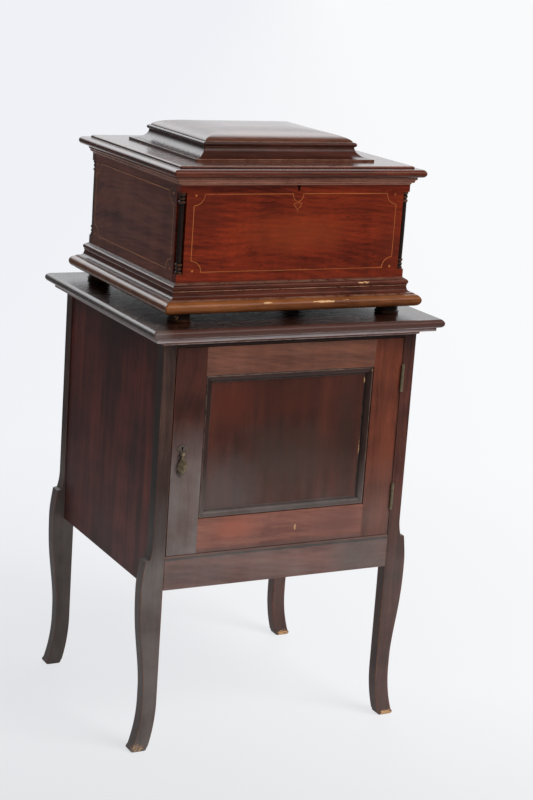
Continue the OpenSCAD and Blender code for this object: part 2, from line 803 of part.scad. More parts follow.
// Drop pull: a leaf that swells towards its foot, seen from the front and from the side
function drop_swell(t) = pow(sin(169 * pow(t, 1.35)), 1.3);
function drop_side(width, share) = [for (i = [0:12]) let (t = i / 12)
    [width * (share + (1 - share) * drop_swell(t)), -1 - (pull_len - 1) * 0.96 * t]];
function both_sides(pts) = concat(pts, [[0, -pull_len]],
    [for (i = [len(pts) - 1:-1:0]) [-pts[i][0], pts[i][1]]]);
module door_pull() {
    color("#7a6437") translate([key_x, pull_y, pull_z]) difference() {
        union() {
            translate([-2.6, 0, 0]) rotate([0, 90, 0]) cylinder(r = pull_eye_r, h = 5.2);
            intersection() {
                translate([0, pull_w, 0]) rotate([90, 0, 0]) linear_extrude(2 * pull_w)
                    polygon(both_sides(drop_side(pull_w / 2, 0.16)));
                translate([-pull_w, -0.6, 0]) rotate([90, 0, 90]) linear_extrude(2 * pull_w)
                    polygon(both_sides(drop_side(3.1, 0.5)));
            }
        }
        translate([-4, 0, 0]) rotate([0, 90, 0]) cylinder(r = pull_pin_r + run_fit, h = 8);
        for (s = [-1, 1])
            span([s * 5.5 - 2.6, -4, -4.5], [s * 5.5 + 2.6, 4, 4]);
    }
}

// Turned feet under the base board
module box_feet() {
    neck_r = foot_r - 2.5;
    half = [[0, 0], [foot_r - 2, 0], [foot_r, 2], [foot_r, 6], [neck_r, 10], [neck_r, foot_h - 5],
        [foot_r, foot_h - 3], [foot_r, foot_h], [0, foot_h]];
    inset = foot_in + foot_r;
    color("#2a1a14") for (sx = [-1, 1], sy = [-1, 1])
        translate([sx * (base_w / 2 - inset), sy * (base_d / 2 - inset), top_z])
            rotate_extrude() polygon(half);
}
module base_board() {
    color("#6b3a1e") mitred(base_prof(), base_w / 2, -base_d / 2, base_d / 2);
}
module base_moulding() {
    color("#4a2317") moulding(skirting_prof(), case_x, -case_y, case_y);
}
module column_notch(sx, sy) {
    span([sx * case_x - notch, sy * case_y - notch, base_top + column_low],
        [sx * case_x + notch, sy * case_y + notch, base_top + column_low + column_len]);
}
module case_end_board(sy) {
    y0 = min(sy * case_y, sy * (case_y - case_t));
    difference() {
        span([-case_x, y0, base_top], [case_x, y0 + case_t, case_top]);
        for (sx = [-1, 1])
            column_notch(sx, sy);
    }
}

// The lid lock, let into the front wall from inside
module lock_pocket(grow) {
    span([-lid_lock_x, -in_y - lid_lock_t, case_top - lid_lock_h],
        [lid_lock_x, grow - in_y, case_top + grow]);
}
module lid_key_hole(y0, y1) {
    key_slot(0, y0, y1, lid_key_z);
}
module case_front() {
    color("#6e2312") difference() {
        case_end_board(-1);
        lock_pocket(past);
        lid_key_hole(-case_y - past, -in_y);
    }
}
module case_back() {
    color("#4a2317") case_end_board(1);
}
module case_side(side) {
    x0 = min(side * in_x, side * case_x);
    span([x0, -in_y, base_top], [x0 + case_t, in_y, case_top]);
}
module case_sides() {
    color("#3c211a") difference() {
        union() {
            case_side(-1);
            case_side(1);
        }
        rod_x(in_x - past, case_x + past, 0, barrel_z, bush_r);
    }
}

// Turned quarter columns with ringed caps and bases, one in each corner notch
module corner_columns() {
    r = column_r;
    cap_r = notch / 2;
    low_rings = [[0, 0], [cap_r, 0], [cap_r, 4], [r, 6], [cap_r - 0.6, 9], [cap_r - 0.6, 12], [r - 0.6, 14],
        [cap_r, 17], [cap_r, 20], [r, 22]];
    high_rings = [for (i = [len(low_rings) - 1:-1:0]) [low_rings[i][0], column_len - low_rings[i][1]]];
    color("#231814") for (sx = [-1, 1], sy = [-1, 1])
        translate([sx * (case_x - notch / 2), sy * (case_y - notch / 2), base_top + column_low])
            rotate_extrude($fn = 32) polygon(concat(low_rings, high_rings));
}
module case_moulding() {
    color("#4a2015") moulding(cornice_prof(), case_x, -case_y, case_y, 0);
}

// Lock case with a channel for the bolt and two slots for the staples
module lid_lock() {
    color("#9a7b3c") difference() {
        lock_pocket(0);
        lid_key_hole(-case_y, lid_bolt_y);
        span([-lid_lock_x + 3, lid_bolt_y - lid_bolt_t / 2 - slide_gap, bolt_low - slide_gap],
            [lid_lock_x - 3, lid_bolt_y + lid_bolt_t / 2 + slide_gap, case_top - 3]);
        for (x = staple_xs)
            span([x - staple_room, lid_bolt_y - staple_w / 2 - staple_gap, bolt_low + bolt_bar_h],
                [x + staple_room, lid_bolt_y + staple_w / 2 + staple_gap, case_top + past]);
    }
}
module lid_bolt() {
    y0 = lid_bolt_y - lid_bolt_t / 2;
    y1 = lid_bolt_y + lid_bolt_t / 2;
    color("#8f7a45") union() {
        span([staple_xs[0] - hook_back, y0, bolt_low],
            [staple_xs[1] - hook_back + hook_w, y1, bolt_low + bolt_bar_h]);
        for (x = staple_xs) {
            span([x - hook_back, y0, bolt_low], [x - hook_back + hook_w, y1, hook_z + hook_h / 2]);
            span([x - hook_back, y0, hook_z - hook_h / 2],
                [x - staple_t / 2 - 2 * slide_gap, y1, hook_z + hook_h / 2]);
        }
    }
}

// Strike plate under the lid with two staples that drop into the lock
module lid_strike() {
    color("#8f7a45") difference() {
        union() {
            span([-lid_lock_x + 4, lid_bolt_y - staple_w / 2, lid_low - strike_t],
                [lid_lock_x - 4, lid_bolt_y + staple_w / 2, lid_low]);
            for (x = staple_xs)
                span([x - staple_t / 2, lid_bolt_y - staple_w / 2, staple_low],
                    [x + staple_t / 2, lid_bolt_y + staple_w / 2, lid_low]);
        }
        for (x = staple_xs)
            span([x - staple_t, lid_bolt_y - lid_bolt_t / 2 - slide_gap, hook_z - hook_h / 2 - slide_gap],
                [x + staple_t, lid_bolt_y + lid_bolt_t / 2 + slide_gap, hook_z + hook_h / 2 + slide_gap]);
    }
}

// Lid hinges lie in the joint under the lid, with their pins behind the case
module lid_knuckles(first, grow) {
    step = lid_hinge_len / 5;
    for (sx = [-1, 1], i = [first:2:4])
        translate([sx * lid_hinge_x - lid_hinge_len / 2 + i * step - grow, lid_pivot_y, lid_pivot_z])
            rotate([0, 90, 0])
                cylinder(r = lid_knuckle_r + grow, h = step + (grow > 0 ? 2 * grow : -slide_gap));
}
module lid_leaf(z) {
    for (sx = [-1, 1])
        span([sx * lid_hinge_x - lid_hinge_len / 2, in_y + 3, z],
            [sx * lid_hinge_x + lid_hinge_len / 2, lid_pivot_y, z + lid_leaf_t]);
}
module lid_hinge_case_leaves() {
    color("#8c7440") {
        difference() {
            union() {
                lid_leaf(case_top);
                lid_knuckles(0, 0);
            }
            lid_knuckles(1, slide_gap);
        }
        for (sx = [-1, 1])
            rod_x(sx * lid_hinge_x - lid_hinge_len / 2, sx * lid_hinge_x + lid_hinge_len / 2,
                lid_pivot_y, lid_pivot_z, hinge_pin_r);
    }
}
module lid_hinge_leaves() {
    color("#8c7440") difference() {
        union() {
            lid_leaf(lid_low - lid_leaf_t);
            lid_knuckles(1, 0);
        }
        lid_knuckles(0, slide_gap);
        rod_x(-case_x, case_x, lid_pivot_y, lid_pivot_z, hinge_pin_r + run_fit);
    }
}
module winding_bush() {
    color("#8c7440") difference() {
        union() {
            rod_x(in_x, case_x, 0, barrel_z, bush_r);
            rod_x(case_x, case_x + bush_rim, 0, barrel_z, bush_r + 3);
        }
        rod_x(in_x - past, case_x + bush_rim + past, 0, barrel_z, arbor_r + 1);
    }
}

// Cast bedplate with round corners on four turned posts, with a window over the motor
module bedplate() {
    color("#54503f") union() {
        difference() {
            translate([0, 0, plate_top - plate_t]) linear_extrude(plate_t)
                polygon(round_pts(-plate_edge_x, -plate_edge_y, plate_edge_x, plate_edge_y, plate_round));
            translate([0, 0, plate_top - plate_t - past]) linear_extrude(plate_t + 2 * past)
                polygon(round_pts(motor_x0 - 4, motor_front - 4, motor_x1 + motor_t + 10, motor_back + 4,
                    window_round));
        }
        for (sx = [-1, 1], sy = [-1, 1])
            translate([sx * (plate_edge_x - post_in), sy * (plate_edge_y - post_in), base_top]) {
                cylinder(r = post_r - 2, h = plate_top - plate_t - base_top + past / 2);
                cylinder(r = post_r, h = plate_t);
                translate([0, 0, plate_top - 2 * plate_t - base_top])
                    cylinder(r = post_r, h = plate_t + past / 2);
            }
        translate([lever_x, lever_y, plate_top - past]) cylinder(r = 4, h = lever_z - 2 - plate_top + past);
        translate([lever_x, lever_y, plate_top]) cylinder(r = lever_pin_r, h = lever_z + 6 - plate_top);
    }
}
module comb_bases() {
    color("#54503f") for (sy = [-1, 1]) {
        y0 = min(sy * (comb_edge - comb_base_w), sy * comb_edge);
        span([comb_x0, y0, plate_top], [comb_x1, y0 + comb_base_w, comb_low]);
    }
}

// Steel comb: tooth length grows steadily from the treble at the spindle to the bass at the rim
module comb(sy) {
    half_tooth = star_pitch * 0.34;
    step = (tooth_long - tooth_short) / (star_n - 1);
    pts = [for (i = [0:star_n - 1])
        let (x = -star_first - i * star_pitch, root = comb_tip + tooth_short + step * i)
        each [[x + half_tooth, root], [x + half_tooth, comb_tip], [x - half_tooth, comb_tip],
            [x - half_tooth, root]]];
    outline = concat([[comb_x1, comb_edge], [comb_x1, comb_tip + tooth_short]], pts,
        [[comb_x0, comb_tip + tooth_long], [comb_x0, comb_edge]]);
    translate([0, 0, comb_low]) linear_extrude(comb_t)
        polygon([for (p = outline) [p[0], sy * p[1]]]);
    for (x = [comb_x1 - 2 * comb_end, (comb_x0 + comb_x1) / 2, comb_x0 + 2 * comb_end])
        translate([x, sy * (comb_edge - comb_heel / 2), comb_low + comb_t - 0.2])
            cylinder(r = screw_r, h = screw_r - 1);
}
module combs() {
    color("#9aa0a3") for (sy = [-1, 1])
        comb(sy);
}

// Bridge that carries the star wheels' shaft between two cheeks
module star_bridge() {
    color("#54503f") union() {
        span([-cheek_out - cheek_t, -cheek_r, plate_top], [-cheek_in, cheek_r, star_z - star_r - 1.5]);
        for (x = [-cheek_in, -cheek_out]) {
            span([x - cheek_t, -cheek_r, plate_top], [x, cheek_r, star_z]);
            rod_x(x - cheek_t, x, 0, star_z, cheek_r);
        }
    }
    color("#9aa0a3") rod_x(-cheek_out - 1, -cheek_in - cheek_t + 1, 0, star_z, shaft_r);
}
function star_pts(n, r_out, r_in) =
    [for (i = [0:2 * n - 1]) let (r = i % 2 == 0 ? r_out : r_in, a = 180 * i / n) r * [cos(a), sin(a)]];
module star_wheels() {
    color("#8c7440") for (i = [0:star_n - 1])
        translate([-star_first - i * star_pitch - star_t / 2, 0, star_z]) rotate([90, 0, 90])
            linear_extrude(star_t) difference() {
                polygon(star_pts(8, star_r, star_r * 0.62));
                circle(r = shaft_r + run_fit);
            }
}
module centre_spindle() {
    h = disc_z - plate_top;
    color("#9aa0a3") translate([0, 0, plate_top]) rotate_extrude()
        polygon([[0, 0], [17, 0], [17, 5], [10, 8], [9, h], [spindle_r, h], [spindle_r, h + 10],
            [spindle_r - 1, h + 12], [0, h + 12]]);
}

// Steel disc: a ring of drive holes, and tune slots placed track by track
module tune_disc() {
    tracks = 18;
    track_step = (star_last - star_first) / (tracks - 1);
    color("#8f8778") translate([0, 0, disc_z]) linear_extrude(disc_t) difference() {
        circle(r = disc_d / 2, $fn = 120);
        circle(r = spindle_r + run_fit);
        for (i = [0:drive_holes - 1])
            rotate(360 * i / drive_holes) translate([drive_r, 0]) circle(r = 3.2, $fn = 16);
        for (t = [0:tracks - 1], k = [0:7])
            rotate(45 * k + 137.5 * t + 14 * sin(97 * k + 53 * t))
                translate([star_first + t * track_step - 1, -3]) square([2, 6]);
    }
}

// Hold-down arm, hinged at the left end of the bedplate and lying over the star wheels
arm_x = -(in_x - 22);
arm_z = disc_z + 11;
arm_w = 12;
arm_pin_r = 3;
arm_boss_r = 7;
arm_boss_w = 15;
cheek_y = arm_boss_w / 2 + 0.5;
ear_t = 5;
hub_r = 16;
roller_r = 4;
module arm_bracket() {
    color("#54503f") {
        for (y = [-cheek_y - ear_t, cheek_y])
            span([arm_x - arm_boss_r, y, plate_top], [arm_x + arm_boss_r, y + ear_t, arm_z + arm_boss_r]);
        span([arm_x - arm_boss_r, -cheek_y - 1, plate_top], [arm_x + arm_boss_r, cheek_y + 1, plate_top + 6]);
    }
    color("#9aa0a3") translate([arm_x, -cheek_y - 0.5, arm_z]) rotate([-90, 0, 0])
        cylinder(r = arm_pin_r, h = 2 * cheek_y + 1);
}
module hold_down_arm() {
    color("#8f8a80") difference() {
        union() {
            translate([0, 0, arm_z - 3]) linear_extrude(7)
                polygon([[arm_x, -arm_w / 2], [0, -hub_r + 2], [0, hub_r - 2], [arm_x, arm_w / 2]]);
            translate([arm_x, -arm_boss_w / 2, arm_z]) rotate([-90, 0, 0])
                cylinder(r = arm_boss_r, h = arm_boss_w);
            translate([0, 0, arm_z - 3]) cylinder(r = hub_r, h = 7);
            for (x = [-star_first - 6, -(star_first + star_last) / 2, -star_last + 6])
                translate([x, -roller_r, disc_z + disc_t + slide_gap + roller_r]) rotate([-90, 0, 0])
                    cylinder(r = roller_r, h = 2 * roller_r);
        }
        translate([arm_x, -arm_w, arm_z]) rotate([-90, 0, 0])
            cylinder(r = arm_pin_r + run_fit, h = 2 * arm_w);
        translate([0, 0, arm_z - arm_w]) cylinder(r = spindle_r + 3, h = 2 * arm_w);
    }
}

// Motor frame: two plates joined by pillars, and the cock that carries the governor
module motor_plate(x) {
    translate([x, 0, 0]) rotate([90, 0, 90]) linear_extrude(motor_t) difference() {
        polygon(concat([[motor_back, base_top]],
            arc_pts(motor_back - motor_round, motor_top - motor_round, motor_round, motor_round, 0, 90, 6),
            arc_pts(motor_front + motor_round, motor_top - motor_round, motor_round, motor_round, 90, 180, 6),
            [[motor_front, base_top]]));
        translate([0, barrel_z]) circle(r = arbor_r + run_fit);
        translate([0, drive_z]) circle(r = drive_shaft_r + run_fit);
        translate([second_y, second_z]) circle(r = second_shaft_r + run_fit);
    }
}
module motor_frame() {
    color("#8c7440") {
        motor_plate(motor_x0);
        motor_plate(motor_x1);
        for (p = [[motor_back - 8, base_top + 12], [motor_back - 8, motor_top - 9],
            [motor_front + 10, base_top + 12]])
            rod_x(motor_x0 + motor_t - 0.5, motor_x1 + 0.5, p[0], p[1], pillar_r);
        rod_x(motor_x1 + motor_t - past, ratchet_x + ratchet_t + 1, click_y, click_z, click_pin_r);
        difference() {
            union() {
                span([motor_x0 + motor_t - 0.5, cock_y, cock_low],
                    [worm_x + 6, cock_y + cock_d, cock_high + 6]);
                for (z = [cock_low, cock_high])
                    span([worm_x - 6, cock_y, z], [worm_x + 6, worm_y + 4, z + 6]);
            }
            for (z = [cock_low + 2, cock_high - past])
                translate([worm_x, worm_y, z]) cylinder(r = pivot_r + run_fit, h = 5, $fn = 24);
        }
    }
}

// Drive wheel whose pins enter the disc's holes, with its arbor and pinion
module drive_wheel() {
    color("#8c7440") union() {
        rod_x(motor_x0, drive_r + 4, 0, drive_z, drive_shaft_r);
        rod_x(drive_r - rim_t / 2, drive_r + rim_t / 2, 0, drive_z, wheel_r - 4.5);
        for (i = [0:pin_n - 1])
            translate([drive_r, 0, drive_z]) rotate([360 * i / pin_n, 0, 0])
                translate([0, 0, wheel_r - pin_len + 2.5]) cylinder(r1 = 2, r2 = 1.1, h = pin_len, $fn = 20);
        gear_x(drive_n, wheel_m, great_x - 2, 0, drive_z, great_t + 4, -90 + 180 / drive_n);
    }
}

// Spring barrel: a drum with two ends, and the great wheel fixed to its left end
module spring_barrel() {
    x0 = great_x + great_t;
    x1 = x0 + barrel_len;
    color("#a08a50") difference() {
        union() {
            gear_x(great_n, wheel_m, great_x, 0, barrel_z, great_t, 90);
            rod_x(x0 - 0.5, x1, 0, barrel_z, barrel_r - 1.5);
            rod_x(x0 + 1, x0 + 4, 0, barrel_z, barrel_r);
            rod_x(x1 - 4, x1 - 1, 0, barrel_z, barrel_r);
        }
        rod_x(great_x - past, x1 + past, 0, barrel_z, arbor_r + run_fit);
        rod_x(x0 + barrel_wall, x1 - barrel_wall, 0, barrel_z, barrel_r - 1.5 - barrel_wall);
    }
}

// Mainspring: one flat strip coiled from near the arbor out to the barrel's wall
module mainspring() {
    x0 = great_x + great_t + barrel_wall + slide_gap;
    r_out = barrel_r - 1.5 - barrel_wall - 0.3;
    r_in = arbor_r + 4;
    turns = 8;
    steps = turns * 20;
    path = [for (i = [0:steps]) [r_in + (r_out - spring_t - r_in) * i / steps, 360 * turns * i / steps]];
    color("#6f747a") translate([x0, 0, barrel_z]) rotate([90, 0, 90])
        linear_extrude(barrel_len - 2 * (barrel_wall + slide_gap)) polygon(concat(
            [for (p = path) p[0] * [cos(p[1]), sin(p[1])]],
            [for (i = [steps:-1:0]) let (p = path[i]) (p[0] + spring_t) * [cos(p[1]), sin(p[1])]]));
}

// Winding arbor with its ratchet wheel and a square for the key
module winding_arbor() {
    square_w = arbor_r * 1.32;
    tooth = 360 / ratchet_n;
    color("#9aa0a3") union() {
        rod_x(motor_x0 - 3, in_x - 2, 0, barrel_z, arbor_r);
        translate([in_x - 3, 0, barrel_z]) rotate([45, 0, 0])
            translate([0, -square_w / 2, -square_w / 2]) cube([case_t - 2, square_w, square_w]);
        translate([ratchet_x, 0, barrel_z]) rotate([90, 0, 90]) linear_extrude(ratchet_t)
            polygon([for (i = [0:ratchet_n - 1]) each [
                ratchet_r * [cos(tooth * i), sin(tooth * i)],
                (ratchet_r - ratchet_h) * [cos(tooth * (i + 1) - 3), sin(tooth * (i + 1) - 3)]]]);
    }
}

// Click, lifted just clear of the ratchet wheel's teeth. Let down by click_lift, its nose stands behind the
// steep side of the top tooth. The outline is the let-down one, about the click's pin.
module click() {
    dz = click_z - barrel_z;
    color("#9aa0a3") translate([0, click_y, click_z]) rotate([-click_lift, 0, 0]) difference() {
        union() {
            rod_x(ratchet_x, ratchet_x + ratchet_t, 0, 0, 4);
            translate([ratchet_x, 0, 0]) rotate([90, 0, 90]) linear_extrude(ratchet_t)
                translate([-click_y, -dz]) polygon([[1.3, ratchet_r - 1.9], [0.9, ratchet_r + 0.8],
                    [5, ratchet_r + 5.5], [click_y, dz + 3], [click_y + 1, dz - 2.8],
                    [6.4, ratchet_r + 0.2]]);
        }
        rod_x(ratchet_x - past, ratchet_x + ratchet_t + past, 0, 0, click_pin_r + run_fit);
    }
}

// Second arbor: its pinion meshes with the great wheel and its wheel turns the governor
mesh_dir = atan2(second_z - barrel_z, second_y);
module governor_wheel() {
    turn_great = (mesh_dir - 90) * great_n / second_n;
    color("#8c7440") union() {
        rod_x(motor_x0, motor_x1 + motor_t, second_y, second_z, second_shaft_r);
        gear_x(second_n, wheel_m, great_x - 2, second_y, second_z, great_t + 4,
            mesh_dir + 180 + turn_great + 180 / second_n);
        gear_x(governor_n, governor_m, governor_x, second_y, second_z, governor_t, 180 + 180 / governor_n);
        rod_x(governor_x - 5, governor_x + governor_t + 5, second_y, second_z, 6);
    }
}

// Governor: an upright arbor with a two-start endless screw and a two-bladed fan
worm_len = 16;
worm_turns = worm_len / (2 * PI * governor_m);
thread_pts = [for (s = [0, 180]) each [[worm_r - 1.6, s - 50], [worm_r + 0.8, s - 20], [worm_r + 0.8, s + 20],
    [worm_r - 1.6, s + 50]]];
module governor_fan() {
    color("#a08a50") translate([worm_x, worm_y, 0]) {
        translate([0, 0, cock_low + 2.6]) cylinder(r = pivot_r, h = cock_high - cock_low + 1);
        translate([0, 0, cock_low + 6.5]) cylinder(r = 2.2, h = cock_high - cock_low - 7);
        translate([0, 0, second_z - worm_len / 2]) rotate(90 - worm_turns * 180)
            linear_extrude(worm_len, twist = -360 * worm_turns, slices = 44, $fn = 12)
                polygon([for (p = thread_pts) p[0] * [cos(p[1]), sin(p[1])]]);
        span([-0.4, -fan_r, second_z + governor_pitch_r + 3], [0.4, fan_r, cock_high - 4]);
    }
}

// Start and stop lever on its post; turned inwards, its tail stands in the fan's path
module start_lever() {
    color("#9a8148") translate([lever_x, lever_y, lever_z]) difference() {
        union() {
            translate([0, 0, -2]) cylinder(r = 5, h = 7);
            span([-2, 0, 0], [2, lever_len, lever_t]);
            rotate(-120) span([-3, 0, 0], [3, handle_len, lever_t]);
            rotate(-120) translate([0, handle_len, 0]) cylinder(r = 6, h = 2 * lever_t);
        }
        translate([0, 0, -3]) cylinder(r = lever_pin_r + run_fit, h = 9);
    }
}

module lid_board() {
    color("#4f2616") difference() {
        mitred(lid_prof(), lid_w / 2, -lid_d / 2, lid_d / 2);
        span([-cap_x + case_t, -cap_y + case_t, lid_low - past],
            [cap_x - case_t, cap_y - case_t, field_z + past]);
        lid_knuckles(0, slide_gap);
        lid_knuckles(1, slide_gap);
    }
}
module lid_cove() {
    color("#45251a") difference() {
        mitred(cove_prof(), cap_x, -cap_y, cap_y);
        span([-cap_x + cap_wall, -cap_y + cap_wall, field_z - past],
            [cap_x - cap_wall, cap_y - cap_wall, dome_low + past]);
    }
}
module lid_dome() {
    color("#4a2a1e") mitred(dome_prof(), cap_x - dome_in, dome_in - cap_y, cap_y - dome_in);
}

cabinet_top();
top_moulding();
leg_front_left();
leg_front_right();
leg_back_left();
leg_back_right();
cabinet_sides();
back_board();
cabinet_floor();
apron();
back_rail();
top_rail();
disc_racks();
door_hinge_frame_leaves();
door_lock_stile();
door_hinge_stile();
door_top_rail();
door_bottom_rail();
door_panel();
door_moulding();
door_hinge_leaves();
door_lock();
door_escutcheon();
door_pull();
door_bolt();
box_feet();
base_board();
base_moulding();
case_front();
case_back();
case_sides();
corner_columns();
case_moulding();
lid_lock();
lid_bolt();
lid_hinge_case_leaves();
winding_bush();
bedplate();
comb_bases();
combs();
star_bridge();
star_wheels();
centre_spindle();
tune_disc();
arm_bracket();
hold_down_arm();
motor_frame();
drive_wheel();
spring_barrel();
mainspring();
winding_arbor();
click();
governor_wheel();
governor_fan();
start_lever();
lid_board();
lid_cove();
lid_dome();
lid_hinge_leaves();
lid_strike();
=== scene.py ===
import math

import bmesh
import bpy
import numpy as np
from mathutils import Matrix, Vector

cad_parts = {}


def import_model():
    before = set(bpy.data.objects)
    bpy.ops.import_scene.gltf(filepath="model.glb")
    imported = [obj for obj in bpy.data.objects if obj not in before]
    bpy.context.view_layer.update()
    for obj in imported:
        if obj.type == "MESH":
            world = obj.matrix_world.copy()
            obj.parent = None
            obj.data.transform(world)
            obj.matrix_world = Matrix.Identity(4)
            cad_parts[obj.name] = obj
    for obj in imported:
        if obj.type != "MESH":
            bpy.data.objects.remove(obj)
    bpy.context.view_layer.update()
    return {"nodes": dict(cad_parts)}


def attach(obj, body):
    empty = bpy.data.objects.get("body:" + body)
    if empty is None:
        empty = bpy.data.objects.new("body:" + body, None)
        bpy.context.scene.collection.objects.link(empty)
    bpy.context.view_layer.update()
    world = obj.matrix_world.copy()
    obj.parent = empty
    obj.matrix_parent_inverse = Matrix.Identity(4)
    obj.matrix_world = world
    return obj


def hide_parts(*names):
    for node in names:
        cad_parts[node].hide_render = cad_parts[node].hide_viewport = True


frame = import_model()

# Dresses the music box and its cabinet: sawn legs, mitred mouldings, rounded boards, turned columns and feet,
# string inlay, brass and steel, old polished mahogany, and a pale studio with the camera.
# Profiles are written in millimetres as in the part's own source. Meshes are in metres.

MM = 0.001

# Sizes, in millimetres
TOP_W, TOP_D, TOP_Z, TOP_T = 651, 582, 884, 18
HALF_W, FRONT_Y, BACK_Y = 284, -249.5, 260.5
UNDER_TOP = TOP_Z - TOP_T
LEG_T, STILE_W = 29, 27
LEDGE_Z, KNEE_Z, ANKLE_Z, TOE_Z = 408, 345, 130, 115
LEDGE_OUT, KNEE_OUT, ANKLE_OUT, TOE_OUT = 14.5, 21.5, 5, 24.5
FLARE_LOW, FLARE_H, FLARE_OUT, HEEL_Z, HEEL_IN, TIP_R, FOOT_EDGE = 410, 36, 5.5, 110, 16, 6, 3
BASE_W, BASE_D, BASE_LOW, BASE_T = 575, 509, 905, 24
BASE_TOP = BASE_LOW + BASE_T
CASE_X, CASE_Y, CASE_TOP = 255, 221.5, 1166
LID_W, LID_D, LID_LOW, LID_EDGE, FIELD = 559, 492, 1167.4, 16, 5
LID_BORDER = LID_LOW + LID_EDGE
FIELD_Z = LID_BORDER + FIELD
CAP_X, CAP_Y, CAP_REBATE = 199.5, 166, 18
COVE_LOW, COVE_TOP = FIELD_Z + 4.5, FIELD_Z + 25.5
DOME_LOW = COVE_TOP + 9
DOME_X, DOME_Y, DOME_RUN, DOME_H = 166, 132.5, 105, 19
DOOR_X, DOOR_LOW, DOOR_HIGH = 189.5, 488, 782
PANEL_Y = -240
KEY_X, KEY_Z = -233.5, 639
PULL_Y, PULL_Z, PULL_LEN, PULL_HALF_W, PULL_HALF_T = -255, 627, 40, 10.5, 2.9
BOLT_HOLE, HOLE_RIM = (-239.5, 2.8, KEY_Z, 8.3, 9), 0.06
COLUMN_LOW, COLUMN_LEN, COLUMN_R, COLUMN_CAP, COLUMN_IN = 978, 158, 5.2, 7, 7
FOOT_R, FOOT_IN = 25, 52
STRING_W, PROUD, SUNK, NOTCH_R, DOT_R, DOT_UP = 1.5, 0.12, 0.6, 22, 2.6, 2.5
FRONT_STRING, SIDE_STRING = (-225, 225, 982, 1133.5), (-193.5, 194.5, 982, 1134)
KERF = 0.2

# Studio, in metres, and the camera with its turns in degrees
STUDIO = 80
BEHIND = (math.sin(math.radians(28.2)), math.cos(math.radians(28.2)), 0)
WINDOW = (0.432, -0.692, 0.578)
# Background colours: the left one and the near floor's are greyer, painted shade of backdrop and floor.
BACKDROP_LEFT_PAINTED_SHADE, PALE, FLOOR_NEAR_PAINTED_SHADE = (0.865, 0.88, 0.92, 1), (0.95, 0.955, 0.965, 1), (0.735, 0.75, 0.765, 1)
MIRRORED, SOFT_LIGHT = (0.96, 0.975, 1, 1), (0.95, 0.97, 1, 1)
CAMERA_PLACE, CAMERA_TURNS = (-1.7653, -3.4417, 1.6561), (28.19, 14.41, 4.03)
FOCAL_POINTS, PHOTO_HEIGHT, SENSOR = 1880.5, 800, 36


# Curves and profiles
def arc(cx, cz, rx, rz, a0, a1, count):
    """Points on part of an ellipse: the centre plus each radius times the cosine or sine of even angles."""
    a = np.radians(np.linspace(a0, a1, count + 1))
    return np.column_stack([cx + rx * np.cos(a), cz + rz * np.sin(a)])


def full_turn(count):
    """Even angles of a full turn, one in each row."""
    return np.linspace(0, 2 * np.pi, count, endpoint=False)[:, None]


def path(*parts):
    """Joins points and runs of points into one polyline, leaving out points that repeat."""
    p = np.vstack([np.atleast_2d(np.asarray(q, float)) for q in parts])
    return p[np.concatenate([[True], np.linalg.norm(np.diff(p, axis=0), axis=1) > 1e-4])]


def soften(points, radius, steps=3, sharp=24.0, most=0.42, past=1.0, room=2.2):
    """Wears the arrises of a closed outline. A corner that turns by more than `sharp` degrees is cut back along
    both edges by radius, or `most` of the shorter edge, and a parabola joins the cuts. Gives the points, and for
    each one +1 on an outer arris, -1 in an inner corner and 0 on a flat. On a long edge a point of value 0,
    `past` millimetres past the cut, ends the arris."""
    p = np.asarray(points, float)
    before, after = np.roll(p, 1, axis=0), np.roll(p, -1, axis=0)
    d0, d1 = p - before, after - p
    l0, l1 = np.linalg.norm(d0, axis=1), np.linalg.norm(d1, axis=1)
    turn = np.arctan2(d0[:, 0] * d1[:, 1] - d0[:, 1] * d1[:, 0], (d0 * d1).sum(1))
    area = (p[:, 0] * after[:, 1] - p[:, 1] * after[:, 0]).sum()
    t = np.linspace(0, 1, steps + 1)[:, None]
    out, arris = [], []

    def add(run, value):
        out.append(run)
        arris.append(np.full(len(run), value))

    for i in range(len(p)):
        if abs(turn[i]) < math.radians(sharp):
            add(p[i:i + 1], 0.0)
            continue
        cut = min(radius, most * l0[i], most * l1[i])
        back, ahead, fade = -d0[i] / l0[i], d1[i] / l1[i], cut + past
        a, b = p[i] + back * cut, p[i] + ahead * cut
        if l0[i] > room * fade:
            add((p[i] + back * fade)[None], 0.0)
        add((1 - t) ** 2 * a + 2 * t * (1 - t) * p[i] + t ** 2 * b, np.sign(turn[i]) * np.sign(area))
        if l1[i] > room * fade:
            add((p[i] + ahead * fade)[None], 0.0)
    return np.vstack(out), np.concatenate(arris)


def wobble(points, amount, seed, size=60.0):
    """A slow unevenness of hand work: amount times the mean of four sine waves whose directions and phases come
    from the seed."""
    rng = np.random.default_rng(seed)
    waves = rng.normal(size=(4, 3)) * 2 * np.pi / size
    phase = rng.uniform(0, 2 * np.pi, 4)
    return amount * np.sin(points @ waves.T + phase).mean(axis=-1)


# Surfaces
def add_object(name, data):
    thing = bpy.data.objects.new(name, data)
    bpy.context.scene.collection.objects.link(thing)
    return thing


